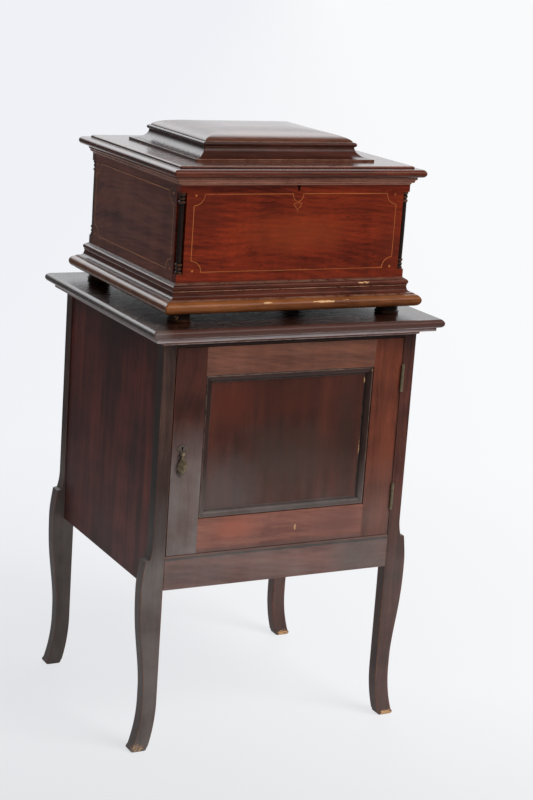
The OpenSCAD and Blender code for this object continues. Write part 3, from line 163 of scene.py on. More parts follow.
class Shell:
    """Collects surfaces, given as grids of points, into one mesh with a grain direction at each point."""

    def __init__(self):
        self.points, self.faces, self.grain, self.arris, self.count = [], [], [], [], 0

    def grid(self, p, grain, arris=0.0, closed=False):
        """Adds the surface p[u, v], one face for each cell; the last column joins the first. If closed, so does
        the last row; otherwise flat faces close the first and the last row."""
        index = self.count + np.arange(p.shape[0] * p.shape[1]).reshape(p.shape[:2])
        here = index if closed else index[:-1]
        ahead = np.roll(index, -1, axis=0)[:len(here)]
        quads = np.stack([here, ahead, np.roll(ahead, -1, axis=1), np.roll(here, -1, axis=1)], axis=-1)
        self.faces += quads.reshape(-1, 4).tolist()
        if not closed:
            self.faces += [index[0, ::-1].tolist(), index[-1].tolist()]
        self.points.append(p.reshape(-1, 3))
        self.grain.append(grain.reshape(-1, 3))
        self.arris.append(np.broadcast_to(arris, index.shape).reshape(-1))
        self.count += index.size
        return self

    def build(self, name, finish, body, node=None, slot=None, crease=38.0):
        """Makes the object from millimetres, points its faces outwards, marks creases and weights its normals."""
        mesh = bpy.data.meshes.new(name)
        mesh.from_pydata(np.vstack(self.points) * MM, [], self.faces)
        for word, kind, field, values in (("grain", "FLOAT_VECTOR", "vector", np.vstack(self.grain) * MM),
                                          ("arris", "FLOAT", "value", np.concatenate(self.arris))):
            numbers = values.astype(np.float32).ravel()
            mesh.attributes.new(word, kind, "POINT").data.foreach_set(field, numbers)
        bm = bmesh.new()
        bm.from_mesh(mesh)
        bmesh.ops.remove_doubles(bm, verts=bm.verts, dist=2e-6)
        bmesh.ops.recalc_face_normals(bm, faces=bm.faces)
        for face in bm.faces:
            face.smooth = True
        for edge in bm.edges:
            edge.smooth = len(edge.link_faces) == 2 and edge.calc_face_angle(0.0) < math.radians(crease)
        bm.to_mesh(mesh)
        bm.free()
        mesh.materials.append(MATERIALS[finish])
        piece = add_object(name, mesh)
        piece.modifiers.new("weighted normals", "WEIGHTED_NORMAL").keep_sharp = True
        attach(piece, body)
        if node:
            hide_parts(node)


def ring(half_x, half_y, radius, corner_steps=6, side_steps=40):
    """Rounded rectangles, one per entry: each corner turns through 90 degrees round a centre that lies radius
    inside both sides, and even steps along the sides join the corners."""
    hx, hy, r = (np.asarray(v, float)[:, None] for v in np.broadcast_arrays(half_x, half_y, radius))
    corners = []
    for k, (sx, sy) in enumerate(((1, 1), (-1, 1), (-1, -1), (1, -1))):
        a = np.radians(90 * k + np.linspace(0, 90, corner_steps + 1))[None]
        corners.append(np.stack([sx * (hx - r) + r * np.cos(a), sy * (hy - r) + r * np.sin(a)], axis=-1))
    t = np.linspace(0, 1, side_steps + 1)[None, 1:-1, None]
    runs = []
    for corner, ahead in zip(corners, corners[1:] + corners[:1]):
        runs += [corner, corner[:, -1:] * (1 - t) + ahead[:, :1] * t]
    return np.concatenate(runs, axis=1)


def moulded_board(name, profile, half_x, half_y, corner, finish, body, node, slot, seed, closed=False, grow=0.0,
                  uneven=0.12, wear=0.8, rim=12.0):
    """A board whose edge profile runs all round: at each profile point (inset, height) the outline is the
    rounded rectangle that lies inset inside the edge. A closed profile is a full loop; otherwise flat faces
    close its ends. grow makes the corners rounder with the inset."""
    if closed:
        prof, arris = soften(profile, wear)
    else:
        inside = profile[:, 0].max() + 50
        prof, arris = soften(path(profile, [[inside, profile[-1, 1]], [inside, profile[0, 1]]]), wear)
        edge = prof[:, 0] < inside - 25
        prof, arris = prof[edge], arris[edge]
    inset = prof[:, 0]
    radius = np.clip(corner + grow * inset, 0.4, np.minimum(half_x, half_y) - inset - 0.5)
    xy = ring(half_x - inset, half_y - inset, radius)
    p = np.concatenate([xy, np.broadcast_to(prof[:, 1][:, None, None], xy.shape[:2] + (1,))], axis=-1)
    shift = wobble(p, uneven, seed) + uneven
    p[..., :2] -= np.sign(p[..., :2]) * shift[..., None] * (inset < rim)[:, None, None]
    Shell().grid(p, p + seed * 37.0, arris[:, None], closed).build(name, finish, body, node, slot)


def moulding_length(shell, profile, start, end, place, mitres=(1, 1), wear=0.45, seed=1, steps=36, uneven=0.1):
    """Adds a length of moulding: the closed profile (out, height) along a line from start to end. A mitred end
    grows by the profile's reach at 45 degrees less half a saw cut. place(s, out, height) gives x, y and z."""
    prof, arris = soften(profile, wear)
    s = np.linspace(0, 1, steps + 1)[:, None]
    a = start - mitres[0] * prof[:, 0] + (KERF / 2 if mitres[0] else 0)
    b = end + mitres[1] * prof[:, 0] - (KERF / 2 if mitres[1] else 0)
    along = a * (1 - s) + b * s
    out, high = (np.broadcast_to(v, along.shape) for v in prof.T)
    flat = np.stack([along, out, high], axis=-1)
    dent = wobble(flat, uneven, seed) * (np.broadcast_to(arris, along.shape) > 0)
    p = np.stack(place(along, out - np.abs(dent), high), axis=-1)
    shell.grid(p, flat + seed * 41.0, arris)


def turned_set(name, profile, x, y, segments, wear, finish, node):
    """Four turned pieces, one in each corner: the closed profile (radius, height) round an upright axis, x and
    y being the radius times the cosine and sine of the angle."""
    prof, arris = soften(profile, wear)
    r = np.maximum(prof[:, 0], 0.0)
    a = full_turn(segments)
    shell = Shell()
    for k, (sx, sy) in enumerate(((-1, -1), (1, -1), (-1, 1), (1, 1))):
        px, py = sx * x + r * np.cos(a), sy * y + r * np.sin(a)
        p = np.stack([px, py, np.broadcast_to(prof[:, 1], px.shape)], axis=-1)
        shell.grid(p, p[..., [2, 0, 1]] + k * 29.0, arris * (r > 0.5), closed=True)
    shell.build(name, finish, "cabinet", node, "mahogany_moulding")


# Node trees
class Tree:
    """Short ways to add shader nodes to one tree. A value that is a socket is linked, any other is set."""

    def __init__(self, tree):
        self.tree = tree

    def link(self, value, target):
        self.tree.links.new(value, target)

    def fill(self, node, values):
        for key, value in values.items():
            if isinstance(value, bpy.types.NodeSocket):
                self.link(value, node.inputs[key])
            else:
                node.inputs[key].default_value = value

    def node(self, kind, values=None, **settings):
        n = self.tree.nodes.new("ShaderNode" + kind)
        for key, value in settings.items():
            setattr(n, key, value)
        self.fill(n, values or {})
        return n

    def math(self, operation, a, b=0.0, c=None, clamp=False):
        values = {0: a, 1: b} if c is None else {0: a, 1: b, 2: c}
        return self.node("Math", values, operation=operation, use_clamp=clamp).outputs[0]

    def times(self, a, b, plus=None, clamp=False):
        return self.math("MULTIPLY" if plus is None else "MULTIPLY_ADD", a, b, plus, clamp)

    def vector(self, operation, a, b=(0, 0, 0), output="Vector"):
        return self.node("VectorMath", {0: a, 1: b}, operation=operation).outputs[output]

    def length(self, a):
        return self.vector("LENGTH", a, output="Value")

    def dot(self, a, b):
        return self.vector("DOT_PRODUCT", a, b, "Value")

    def mix(self, factor, a, b, blend="MIX"):
        return self.node("Mix", {0: factor, 6: a, 7: b}, data_type="RGBA", blend_type=blend).outputs[2]

    def mix_shaders(self, factor, a, b):
        return self.node("MixShader", {0: factor, 1: a, 2: b}).outputs[0]

    def noise(self, vector, scale, detail=2.0, rough=0.5):
        """Noise; three scales stretch it along the axes."""
        if isinstance(scale, tuple):
            vector, scale = self.vector("MULTIPLY", vector, scale), 1.0
        values = {"Vector": vector, "Scale": scale, "Detail": detail, "Roughness": rough}
        return self.node("TexNoise", values).outputs[0]

    def stretch(self, value, low, high, to_low=0.0, to_high=1.0):
        return self.node("MapRange", {0: value, 1: low, 2: high, 3: to_low, 4: to_high}).outputs[0]

    def parts(self, vector):
        return self.node("SeparateXYZ", {0: vector}).outputs

    def join(self, x, y, z):
        return self.node("CombineXYZ", {0: x, 1: y, 2: z}).outputs[0]

    def bump(self, height, strength, distance):
        return self.node("Bump", {"Height": height, "Strength": strength, "Distance": distance}).outputs[0]

    def use(self, group, **values):
        return self.node("Group", values, node_tree=group).outputs


def new_group(name, build, inputs, outputs):
    """A node group. build(tree, sockets...) adds its nodes to the input sockets and gives the outputs."""
    tree = bpy.data.node_groups.new(name, "ShaderNodeTree")
    for words, way in ((inputs, "INPUT"), (outputs, "OUTPUT")):
        for word in words.split():
            kind = "Vector" if word in ("Vector", "Position", "Centre", "Reach", "Direction") else "Float"
            tree.interface.new_socket(name=word, in_out=way, socket_type="NodeSocket" + kind)
    source, target = tree.nodes.new("NodeGroupInput"), tree.nodes.new("NodeGroupOutput")
    results = build(Tree(tree), *(source.outputs[word] for word in inputs.split()))
    for word, result in zip(outputs.split(), results):
        tree.links.new(result, target.inputs[word])
    return tree


def tint(red, green, blue):
    """A colour given as it shows on a screen, 0 to 255, as the linear numbers that a shader takes."""
    c = np.array([red, green, blue]) / 255.0
    c = np.where(c <= 0.04045, c / 12.92, ((c + 0.055) / 1.055) ** 2.4)
    return (float(c[0]), float(c[1]), float(c[2]), 1.0)


def figure_nodes(t, vector, seed, rings):
    """Mahogany's figure; the grain vector runs along, across and into the board. Rings round a line that leans
    through the board show as nested arches. Long noise gives stripes, short noise fibres, thin dashes pores."""
    v = t.vector("ADD", vector, t.vector("MULTIPLY", t.join(seed, seed, seed), (0.373, 0.219, 0.287)))
    wander = t.stretch(t.noise(v, (2.2, 7, 7)), 0.2, 0.8, -0.02, 0.02)
    bent = t.vector("ADD", v, t.join(0, wander, wander))
    stripes = t.noise(bent, (1.5, 42, 42), 4, 0.6)
    fibre = t.noise(bent, (11, 420, 420), 2, 0.6)
    flame = t.noise(bent, (26, 9, 9))
    cloud = t.noise(v, 6)
    along, across, depth = t.parts(vector)[:3]
    lean = t.times(along, 0.16, t.times(wander, 1.6, 0.02))
    radius = t.math("SQRT", t.math("ADD", t.math("POWER", t.math("ADD", across, wander), 2),
                                   t.math("POWER", t.math("ADD", depth, lean), 2)))
    arches = t.math("SINE", t.times(radius, 520, t.times(cloud, 9)))
    tone = t.times(cloud, 0.18, t.times(flame, 0.16, t.times(fibre, 0.2, t.times(stripes, 0.46))))
    tone = t.math("ADD", tone, t.times(t.times(arches, 0.045), rings))
    pores = t.noise(bent, (75, 1300, 1300), 1)
    return t.stretch(tone, 0.39, 0.61), t.stretch(pores, 0.58, 0.7), fibre


def dust_and_sheen_nodes(t, position, vector, amount, low, high):
    """A grey bloom, low down, in patches and in streaks along the grain: a dusty film of age and wax, and painted
    sheen.
    """
    level = t.stretch(t.parts(position)[2], low, high, 1, 0.06)
    patch = t.stretch(t.noise(position, 9, 4, 0.65), 0.35, 0.68)
    streak = t.stretch(t.noise(vector, (5, 70, 70), 3, 0.6), 0.3, 0.75)
    both = t.times(patch, 0.4, t.times(streak, 0.25, 0.35))
    return [t.times(t.times(both, level), amount, clamp=True)]


def arris_nodes(t, position, edge, amount):
    """Wear along outer edges, broken up by noise so that it comes and goes; dirt and painted shade in inner corners.
    """
    broken = t.stretch(t.noise(position, 55, 4, 0.7), 0.34, 0.6)
    broad = t.stretch(t.noise(position, 11), 0.35, 0.62)
    worn = t.times(t.math("MAXIMUM", edge, 0), t.times(broken, 0.7, t.times(broad, 0.3)))
    return t.times(worn, amount, clamp=True), t.times(t.times(edge, -1.3, clamp=True), 0.9)


def found_edge_nodes(t, radius):
    """How far a point is from flat: one less the cosine between its normal and one rounded over a radius."""
    rounded = t.node("Bevel", {"Radius": radius}, samples=6).outputs[0]
    return [t.stretch(t.dot(rounded, t.node("NewGeometry").outputs["Normal"]), 0.99, 0.86)]


def away(t, position, centre, reach):
    """The distance from a centre, where 1 is the surface of the ellipsoid with these reaches."""
    return t.length(t.vector("DIVIDE", t.vector("SUBTRACT", position, centre), reach))


def chip_nodes(t, position, centre, reach, bareness):
    """Chipped polish: inside an ellipsoid round Centre, noise stretched along the grain picks the bare
    spots."""
    near = t.stretch(away(t, position, centre, reach), 0.35, 1, 1, 0)
    spots = t.noise(position, (150, 400, 520), 2, 0.7)
    level = t.math("ADD", t.times(near, bareness), spots)
    return [t.times(t.stretch(level, 0.98, 1.08), t.stretch(near, 0, 0.15))]


def tarnish_nodes(t, position, amount):
    """Tarnish on brass and rust-brown film on steel: slow patches with a fine mottle inside them."""
    mottle = t.times(t.noise(position, 700, 3, 0.6), 0.3)
    level = t.math("ADD", t.times(t.noise(position, 60, 4, 0.6), 0.7), mottle)
    return [t.times(t.stretch(level, 0.38, 0.6), amount, clamp=True)]


def varnish_nodes(t, vector, amount):
    """Where old varnish has darkened: broad patches, drawn out along the grain."""
    return [t.times(t.stretch(t.noise(vector, (3.2, 10, 10), 3, 0.55), 0.4, 0.64), amount)]


def stain_and_painted_light_nodes(t, position, centre, reach, amount):
    """A patch, full in the middle of an ellipsoid round Centre, gone at its reach, with an uneven rim; it serves for
    stains, for painted shade and for painted highlights.
    """
    uneven = t.times(t.noise(position, 14, 4, 0.6), 0.9, away(t, position, centre, reach))
    return [t.times(t.stretch(uneven, 0.75, 1.45, 1, 0), amount)]


FIGURE = new_group("mahogany figure", figure_nodes, "Vector Seed Rings", "Tone Pores Fibre")
# Grey bloom low down: a dusty film of age, and painted sheen.
DUST_AND_SHEEN = new_group("bloom, dust and painted sheen", dust_and_sheen_nodes, "Position Vector Amount Low High", "Mask")
ARRIS = new_group("worn arrises", arris_nodes, "Position Edge Amount", "Worn Dirt")
FOUND = new_group("found edges", found_edge_nodes, "Radius", "Edge")
CHIP = new_group("chipped place", chip_nodes, "Position Centre Reach Bareness", "Mask")
TARNISH = new_group("tarnish", tarnish_nodes, "Position Amount", "Mask")
VARNISH = new_group("darkened varnish", varnish_nodes, "Vector Amount", "Mask")
STAIN_AND_PAINTED_LIGHT = new_group("stain and painted light patch", stain_and_painted_light_nodes, "Position Centre Reach Amount", "Mask")
# The bloom's grey is a dusty film and painted sheen together.
RAW_WOOD, DUST_SHEEN_GREY, SMOKED = tint(206, 160, 112), tint(146, 139, 134), (0.36, 0.42, 0.5, 1)
BARE_WOOD, RUBBED = (150, 92, 58), (180, 130, 104)
MATERIALS = {}


def new_material(name, constants):
    material = bpy.data.materials.new(name)
    material.use_nodes = True
    material.node_tree.nodes.clear()
    t = Tree(material.node_tree)
    shader = t.node("BsdfPrincipled", constants)
    t.link(shader.outputs[0], t.node("OutputMaterial").inputs[0])
    return material, t, shader


def spot(row):
    """The middle and the reach of a chip, a stain, or a patch of painted shade or painted highlight, in metres."""
    return {"Centre": tuple(v * MM for v in row[:3]), "Reach": tuple(v * MM for v in row[3:6])}


def wood(name, dark, light, grain=None, seed=0, rings=0.4, gloss=(0.26, 0.46), coat=0.2, coat_rough=0.16,
         smoke=0.3, bloom_and_sheen=(0.1, 0.5, 0.75), wear=0.5, worn=BARE_WOOD, pores=0.4, chips=(), stains_and_painted_light=()):
    """Polished mahogany between two colours. grain is None for a piece with its own grain attribute; otherwise it
    is the turn in degrees that brings the board's length to the grain's first axis. The bloom setting is the amount
    of grey bloom, a dusty film and painted sheen together, and the heights in metres up to which it is full and
    where it ends. A chip is its middle, its reach and its bareness, in a row; a patch of colour (a stain, painted
    shade or a painted highlight) is its middle, its reach, its colour and its amount. Both are in millimetres."""
    MATERIALS[name], t, shader = new_material(name, {
        "Specular IOR Level": 0.45 - 0.4 * coat, "Coat Weight": coat, "Coat Roughness": coat_rough, "Coat IOR": 1.5})
    position = t.node("TexCoord").outputs["Object"]
    if grain is None:
        vector = t.node("Attribute", attribute_name="grain").outputs["Vector"]
        found = t.node("Attribute", attribute_name="arris").outputs["Fac"]
    else:
        rotation = tuple(math.radians(a) for a in grain)
        vector = t.node("Mapping", {"Vector": position, "Rotation": rotation}).outputs[0]
        found = t.use(FOUND, Radius=0.0016)["Edge"]
    dark, light = tint(*dark), tint(*light)
    deep = tuple(c * 0.3 for c in dark[:3]) + (1,)
    figure = t.use(FIGURE, Vector=vector, Seed=seed, Rings=rings)
    edges = t.use(ARRIS, Position=position, Edge=found, Amount=wear)
    # The bloom mask greys the wood low down: a dusty film and painted sheen together.
    dust_sheen_mask = t.use(DUST_AND_SHEEN, Position=position, Vector=vector, Amount=bloom_and_sheen[0], Low=bloom_and_sheen[1], High=bloom_and_sheen[2])["Mask"]
    colour = t.mix(figure["Tone"], dark, light)
    varnish = t.use(VARNISH, Vector=vector, Amount=smoke)["Mask"]
    colour = t.mix(varnish, colour, t.mix(1, colour, SMOKED, "MULTIPLY"))
    colour = t.mix(t.times(figure["Pores"], pores), colour, deep)
    # Stains, and patches of painted shade and painted highlight, mix their colours in.
    for row in stains_and_painted_light:
        mask = t.use(STAIN_AND_PAINTED_LIGHT, Position=position, Amount=row[9], **spot(row))["Mask"]
        colour = t.mix(mask, colour, tint(*row[6:9]))
    # Inner corners darken with dirt and painted shade; the bloom greys the wood, a dusty film and painted sheen.
    colour = t.mix(edges["Dirt"], t.mix(dust_sheen_mask, colour, DUST_SHEEN_GREY), deep)
    colour = t.mix(edges["Worn"], colour, tint(*worn))
    height = t.times(figure["Pores"], -0.5, t.times(figure["Fibre"], 0.6))
    dull = t.times(figure["Tone"], -0.25, t.math("ADD", t.times(dust_sheen_mask, 1.3), edges["Worn"]))
    bare = None
    for row in chips:
        mask = t.use(CHIP, Position=position, Bareness=row[6], **spot(row))["Mask"]
        bare = mask if bare is None else t.math("MAXIMUM", bare, mask)
    if bare is not None:
        colour = t.mix(bare, colour, RAW_WOOD)
        height = t.times(bare, -3, height)
        dull = t.math("MAXIMUM", dull, bare)
    t.fill(shader, {"Base Color": colour, "Roughness": t.stretch(dull, -0.2, 0.8, *gloss),
                    "Normal": t.bump(height, 0.22, 0.0003)})


def metal(name, clean, dull, amount=0.6, rough=(0.22, 0.5), metallic=1, wear=0):
    """Brass, steel or painted iron: the clean colour under a patchy film, with fine tool marks; wear shows the
    clean colour on the edges."""
    MATERIALS[name], t, shader = new_material(name, {"Metallic": metallic})
    position = t.node("TexCoord").outputs["Object"]
    mask = t.use(TARNISH, Position=position, Amount=amount)["Mask"]
    if wear:
        edge = t.use(FOUND, Radius=0.0008)["Edge"]
        rubbed = t.use(ARRIS, Position=position, Edge=edge, Amount=wear)["Worn"]
        mask = t.math("SUBTRACT", mask, rubbed, clamp=True)
    marks = t.noise(position, (900, 900, 900))
    level = t.times(marks, 0.5, t.times(mask, 0.6))
    t.fill(shader, {"Base Color": t.mix(mask, tint(*clean), tint(*dull)),
                    "Roughness": t.stretch(level, 0.15, 0.85, *rough), "Normal": t.bump(marks, 0.12, 0.0002)})


# Finishes
ALONG_X, ALONG_Y, UPRIGHT = (0, 0, 0), (0, 0, -90), (0, 90, 0)

nose_chips = ((-68, -254, 924, 22, 8, 5, 0.62), (58, -254, 923, 50, 8, 4, 0.72),
              (105, -254, 925, 30, 10, 6, 0.45), (-150, -254, 916, 20, 10, 8, 0.35))
bead_chips = ((160, -233, 954, 30, 10, 4, 0.6),)
foot_chips = ((-295, -250, 10, 30, 30, 16, 0.5), (292, -250, 4, 30, 40, 16, 0.6),
              (292, 230, 4, 30, 40, 16, 0.65))
# Painted highlights: pale grey lines along the front and left fillets of the moulding under the top.
under_painted_highlights = ((-60, -278, 859.7, 600, 30, 6.5, 170, 162, 162, 0.85),
                (-312.5, 0, 861, 30, 600, 6.5, 190, 178, 176, 0.85))
# Painted shade on the left face of the front left leg.
leg_painted_shade = ((-284.5, -235, 600, 5, 30, 500, 32, 22, 19, 0.8),)
# Two thin dark lines down the side, and painted shadow along its top under the overhanging top.
side_lines_and_painted_shadow = ((-284, 51, 600, 50, 2, 450, 26, 12, 10, 0.8), (-284, -125, 600, 50, 2, 450, 26, 12, 10, 0.6),
               (-284, 0, 860, 50, 500, 90, 44, 16, 10, 0.7))
panel_chips = ((172.5, -243, 752, 4, 10, 16, 0.6), (172.5, -243, 610, 3.5, 10, 50, 0.55),
               (186, -245, 775, 6, 10, 10, 0.5))
panel_stains = ((0, -240, 600, 150, 50, 90, 66, 50, 44, 0.7), (-140, -240, 540, 100, 50, 100, 92, 84, 82, 0.45),
                (-120, -240, 720, 60, 50, 60, 94, 36, 20, 0.45), (140, -240, 660, 40, 50, 140, 52, 34, 28, 0.7),
                (20, -240, 720, 120, 50, 50, 80, 34, 20, 0.4))
# Painted shade in bands under the cornice and above the base moulding; the other rows make the middle lighter and
# darken two patches towards the ends.
front_tones_and_painted_shade = ((0, -222, 1155, 450, 50, 12, 72, 25, 12, 0.7), (0, -222, 953, 450, 50, 14, 74, 28, 17, 0.8),
                (0, -222, 1055, 150, 50, 50, 134, 54, 18, 0.5),
                (-200, -222, 1100, 60, 50, 50, 88, 28, 12, 0.45),
                (220, -222, 1040, 50, 50, 70, 88, 30, 16, 0.45))
low_stains = ((-100, -250, 462, 70, 50, 30, 160, 84, 62, 0.75), (140, -250, 455, 90, 50, 50, 106, 60, 50, 0.8),
              (0, -250, 415.5, 1200, 50, 13, 80, 58, 54, 0.7))
# A grey patch, and painted shadow: a dark line along the apron's top edge under the floor's lip.
apron_patch_and_painted_shadow = ((190, -250, 380, 90, 50, 60, 74, 66, 62, 0.7), (0, -250, 408.8, 1200, 50, 4.6, 10, 6, 5, 1))
# Painted shade: a dark line down the gap on the hinge side; and an orange stain.
hinge_gap_shade_and_stain = ((255.8, -250, 630, 3.5, 50, 600, 12, 8, 6, 0.9), (225, -250, 600, 30, 50, 80, 118, 60, 38, 0.5))
# Painted highlights on the cabinet top: a paler band on the front nose, a pale line along its lower edge, and a pale
# patch at the left end.
top_painted_highlights = ((0, -292, 874, 900, 20, 30, 86, 55, 47, 0.8), (0, -285, 867, 900, 14, 2.2, 168, 148, 142, 0.9),
              (-315, 0, 884, 35, 600, 40, 118, 108, 104, 0.6))
wood("box_front", (72, 15, 2), (140, 45, 13), ALONG_X, 2, 0.5, (0.3, 0.5), 0.08, smoke=0.35,
     bloom_and_sheen=(0.02, 0.9, 1), wear=0.25, pores=0.75, stains_and_painted_light=front_tones_and_painted_shade)
wood("box_side", (84, 36, 26), (146, 82, 66), ALONG_Y, 5, 0.5, (0.34, 0.5), 0, smoke=0.35, pores=0.6,
     bloom_and_sheen=(0.1, 1.1, 1.2), wear=0.25)
wood("box_back", (70, 26, 15), (106, 46, 30), ALONG_X, 9, 0.8, (0.4, 0.6), 0, bloom_and_sheen=(0.2, 1.1, 1.3),
     wear=0.3)
wood("box_moulding", (58, 24, 13), (102, 48, 30), None, 3, 0.3, (0.22, 0.42), 0.3, wear=0.75, worn=RUBBED,
     chips=bead_chips)
wood("base", (94, 46, 18), (152, 90, 46), None, 4, 0.3, (0.28, 0.5), 0.8, wear=0.9, worn=(180, 132, 92),
     chips=nose_chips)
wood("cornice", (104, 54, 40), (156, 100, 82), None, 6, 0.3, (0.24, 0.44), 0.3, wear=0.9, worn=RUBBED)
wood("lid", (62, 26, 14), (104, 50, 32), None, 7, 0.5, (0.26, 0.44), 0.95, wear=0.9, worn=RUBBED)
wood("cove", (48, 22, 15), (84, 42, 30), None, 8, 0.3, (0.26, 0.44), 0.5, wear=0.6, worn=RUBBED)
wood("cap", (72, 36, 22), (116, 66, 44), None, 10, 0.6, (0.3, 0.46), 0.95, 0.18, smoke=0.2, wear=0.8,
     worn=RUBBED)
wood("top", (32, 14, 8), (64, 34, 24), None, 11, 0.6, (0.26, 0.46), 0.45, 0.2, wear=0.8, worn=(176, 158, 150),
     stains_and_painted_light=top_painted_highlights)
# The moulding under the top: its pale grey worn colour is wear and painted highlight together.
wood("under", (92, 46, 32), (146, 84, 64), None, 12, 0.3, (0.28, 0.48), 0.3, wear=0.9, worn=(198, 180, 172),
     stains_and_painted_light=under_painted_highlights)
# Two copies of one leg wood: the left legs' copy is greyer and duller, painted shade and sheen for the side away from
# the light; the right legs' copy is redder.
wood("leg", (50, 30, 24), (90, 62, 52), None, 13, 0.4, (0.4, 0.6), 0.05, smoke=0.5, bloom_and_sheen=(0.55, 0.38, 0.56),
     wear=0.6, chips=foot_chips, stains_and_painted_light=leg_painted_shade)
wood("right_leg", (50, 24, 17), (100, 52, 40), None, 30, 0.5, (0.4, 0.6), 0.05, smoke=0.5,
     bloom_and_sheen=(0.25, 0.38, 0.56), wear=0.6, chips=foot_chips)
wood("side", (62, 18, 12), (124, 50, 38), UPRIGHT, 14, 0.1, (0.42, 0.6), 0, smoke=0.8,
     bloom_and_sheen=(0.1, 0.42, 0.6), wear=0.3, pores=0.2, stains_and_painted_light=side_lines_and_painted_shadow)
wood("apron", (84, 42, 34), (134, 82, 70), ALONG_X, 15, 0.5, (0.34, 0.56), 0.05, smoke=0.3,
     bloom_and_sheen=(0.42, 0.45, 0.7), wear=0.5, stains_and_painted_light=apron_patch_and_painted_shadow)
wood("floor_edge", (78, 46, 36), (120, 78, 66), ALONG_X, 28, 0.4, (0.4, 0.6), 0.05, bloom_and_sheen=(0.3, 0.5, 0.8),
     wear=0.6)
wood("rail", (40, 22, 17), (72, 43, 34), ALONG_X, 16, 0.4, (0.34, 0.54), 0.1, wear=0.4)
wood("lock_stile", (52, 18, 10), (90, 40, 26), UPRIGHT, 17, 0.3, (0.34, 0.54), 0.1, smoke=0.4,
     bloom_and_sheen=(0.7, 0.56, 0.7), wear=0.5)
wood("hinge_stile", (78, 33, 18), (120, 58, 36), UPRIGHT, 18, 0.4, (0.36, 0.58), 0.05, bloom_and_sheen=(0.25, 0.46, 0.6),
     wear=0.7, stains_and_painted_light=hinge_gap_shade_and_stain)
wood("door_top", (92, 46, 28), (136, 80, 56), ALONG_X, 19, 0.4, (0.38, 0.6), 0.04, bloom_and_sheen=(0.1, 0.9, 1),
     wear=0.8, worn=(160, 120, 98))
wood("door_low", (116, 62, 48), (164, 100, 80), ALONG_X, 20, 0.4, (0.34, 0.56), 0.08, bloom_and_sheen=(0.16, 0.45, 0.7),
     wear=0.4, chips=((32, -250, 452, 5, 10, 14, 0.55),), stains_and_painted_light=low_stains)
wood("panel", (64, 30, 21), (92, 44, 30), UPRIGHT, 21, 0.1, (0.32, 0.52), 0.12, smoke=0.6, pores=0.25,
     bloom_and_sheen=(0.22, 0.48, 0.62), wear=0.1, stains_and_painted_light=panel_stains)
wood("panel_moulding", (30, 16, 11), (64, 38, 30), None, 22, 0.2, (0.26, 0.46), 0.2, bloom_and_sheen=(0.42, 0.5, 0.6),
     wear=0.5, worn=(136, 112, 100), chips=panel_chips)
wood("column", (20, 13, 11), (42, 28, 23), None, 23, 0.1, (0.26, 0.5), 0.2, wear=0.4)
wood("feet", (30, 19, 14), (64, 40, 29), None, 24, 0.2, (0.3, 0.5), 0.15, wear=0.4,
     chips=((-250, -222, 894, 12, 12, 10, 0.5),))
wood("inside", (98, 58, 36), (150, 98, 62), UPRIGHT, 25, 0.6, (0.5, 0.7), 0, wear=0.1)
wood("inside_flat", (98, 58, 36), (150, 98, 62), ALONG_Y, 26, 0.6, (0.5, 0.7), 0, wear=0.1)
# Two copies of one string inlay: the front copy darker, the side copy painted lighter to make up for the weaker light
# on the side.
wood("string", (150, 74, 32), (198, 118, 58), None, 27, 0, (0.3, 0.45), 0.15, smoke=0.4, wear=0)
wood("side_string_painted_lighter", (190, 122, 76), (222, 156, 104), None, 29, 0, (0.34, 0.5), 0, smoke=0.4, wear=0)
metal("plate_brass", (112, 98, 88), (82, 72, 66), 0.8, (0.42, 0.62), 0.3, wear=0.3)
metal("pull_brass", (206, 184, 150), (92, 76, 56), 0.9, (0.24, 0.5), 0.75, wear=0.9)
metal("hinge_brass", (164, 152, 124), (126, 114, 88), 0.7, (0.36, 0.6), 0.7, wear=0.5)
metal("aged_brass", (126, 104, 62), (60, 48, 32), 0.9, (0.34, 0.6), 1, wear=0.7)
metal("clean_brass", (206, 164, 92), (132, 98, 52), 0.5, (0.2, 0.42))
metal("bright_steel", (186, 188, 190), (112, 104, 96), 0.45, (0.18, 0.42))
metal("disc_steel", (158, 156, 152), (92, 82, 72), 0.6, (0.28, 0.5))
metal("painted_iron", (96, 78, 50), (44, 38, 30), 0.7, (0.36, 0.6), 0.6, wear=0.5)
metal("keyhole", (40, 32, 22), (16, 13, 10), 0.8, (0.4, 0.6), 0.8)

# Boards with moulded edges
def nose(low, thick, spread=75, count=10):
    """A rounded board edge as (inset, height): part of a circle whose diameter is the board's thickness."""
    r = thick / 2
    return arc(-r, low + r, r, r, -spread, spread, count) * (-1, 1)


def slab(low, thick, flat, count=10):
    """The edge of a plain board: a nose, with flats under and over it from the inset `flat` inwards."""
    return path([[60, low], [flat, low]], nose(low, thick, 75, count), [[flat, low + thick], [60, low + thick]])


moulded_board("cabinet_top_board", slab(UNDER_TOP, TOP_T, 9), TOP_W / 2, TOP_D / 2, 3.0, "top", "cabinet",
              "cabinet_top", "mahogany_top", 1)
moulded_board("box_base_board", slab(BASE_LOW, BASE_T, 12, 12), BASE_W / 2, BASE_D / 2, 3.0, "base", "cabinet",
              "base_board", "mahogany_box", 2)

lid_open = LID_W / 2 - (CAP_X - CAP_REBATE)
lid_loop = path([[lid_open, LID_LOW], [8, LID_LOW]], nose(LID_LOW, LID_EDGE, 78),
                [[8, LID_BORDER], [19.5, LID_BORDER]], arc(22.5, LID_BORDER + 1, 3, FIELD - 1, 180, 90, 4),
                [[40, FIELD_Z], [lid_open, FIELD_Z]])
moulded_board("lid_moulded_board", lid_loop, LID_W / 2, LID_D / 2, 3.0, "lid", "lid", "lid_board", "mahogany_box", 3,
              closed=True)

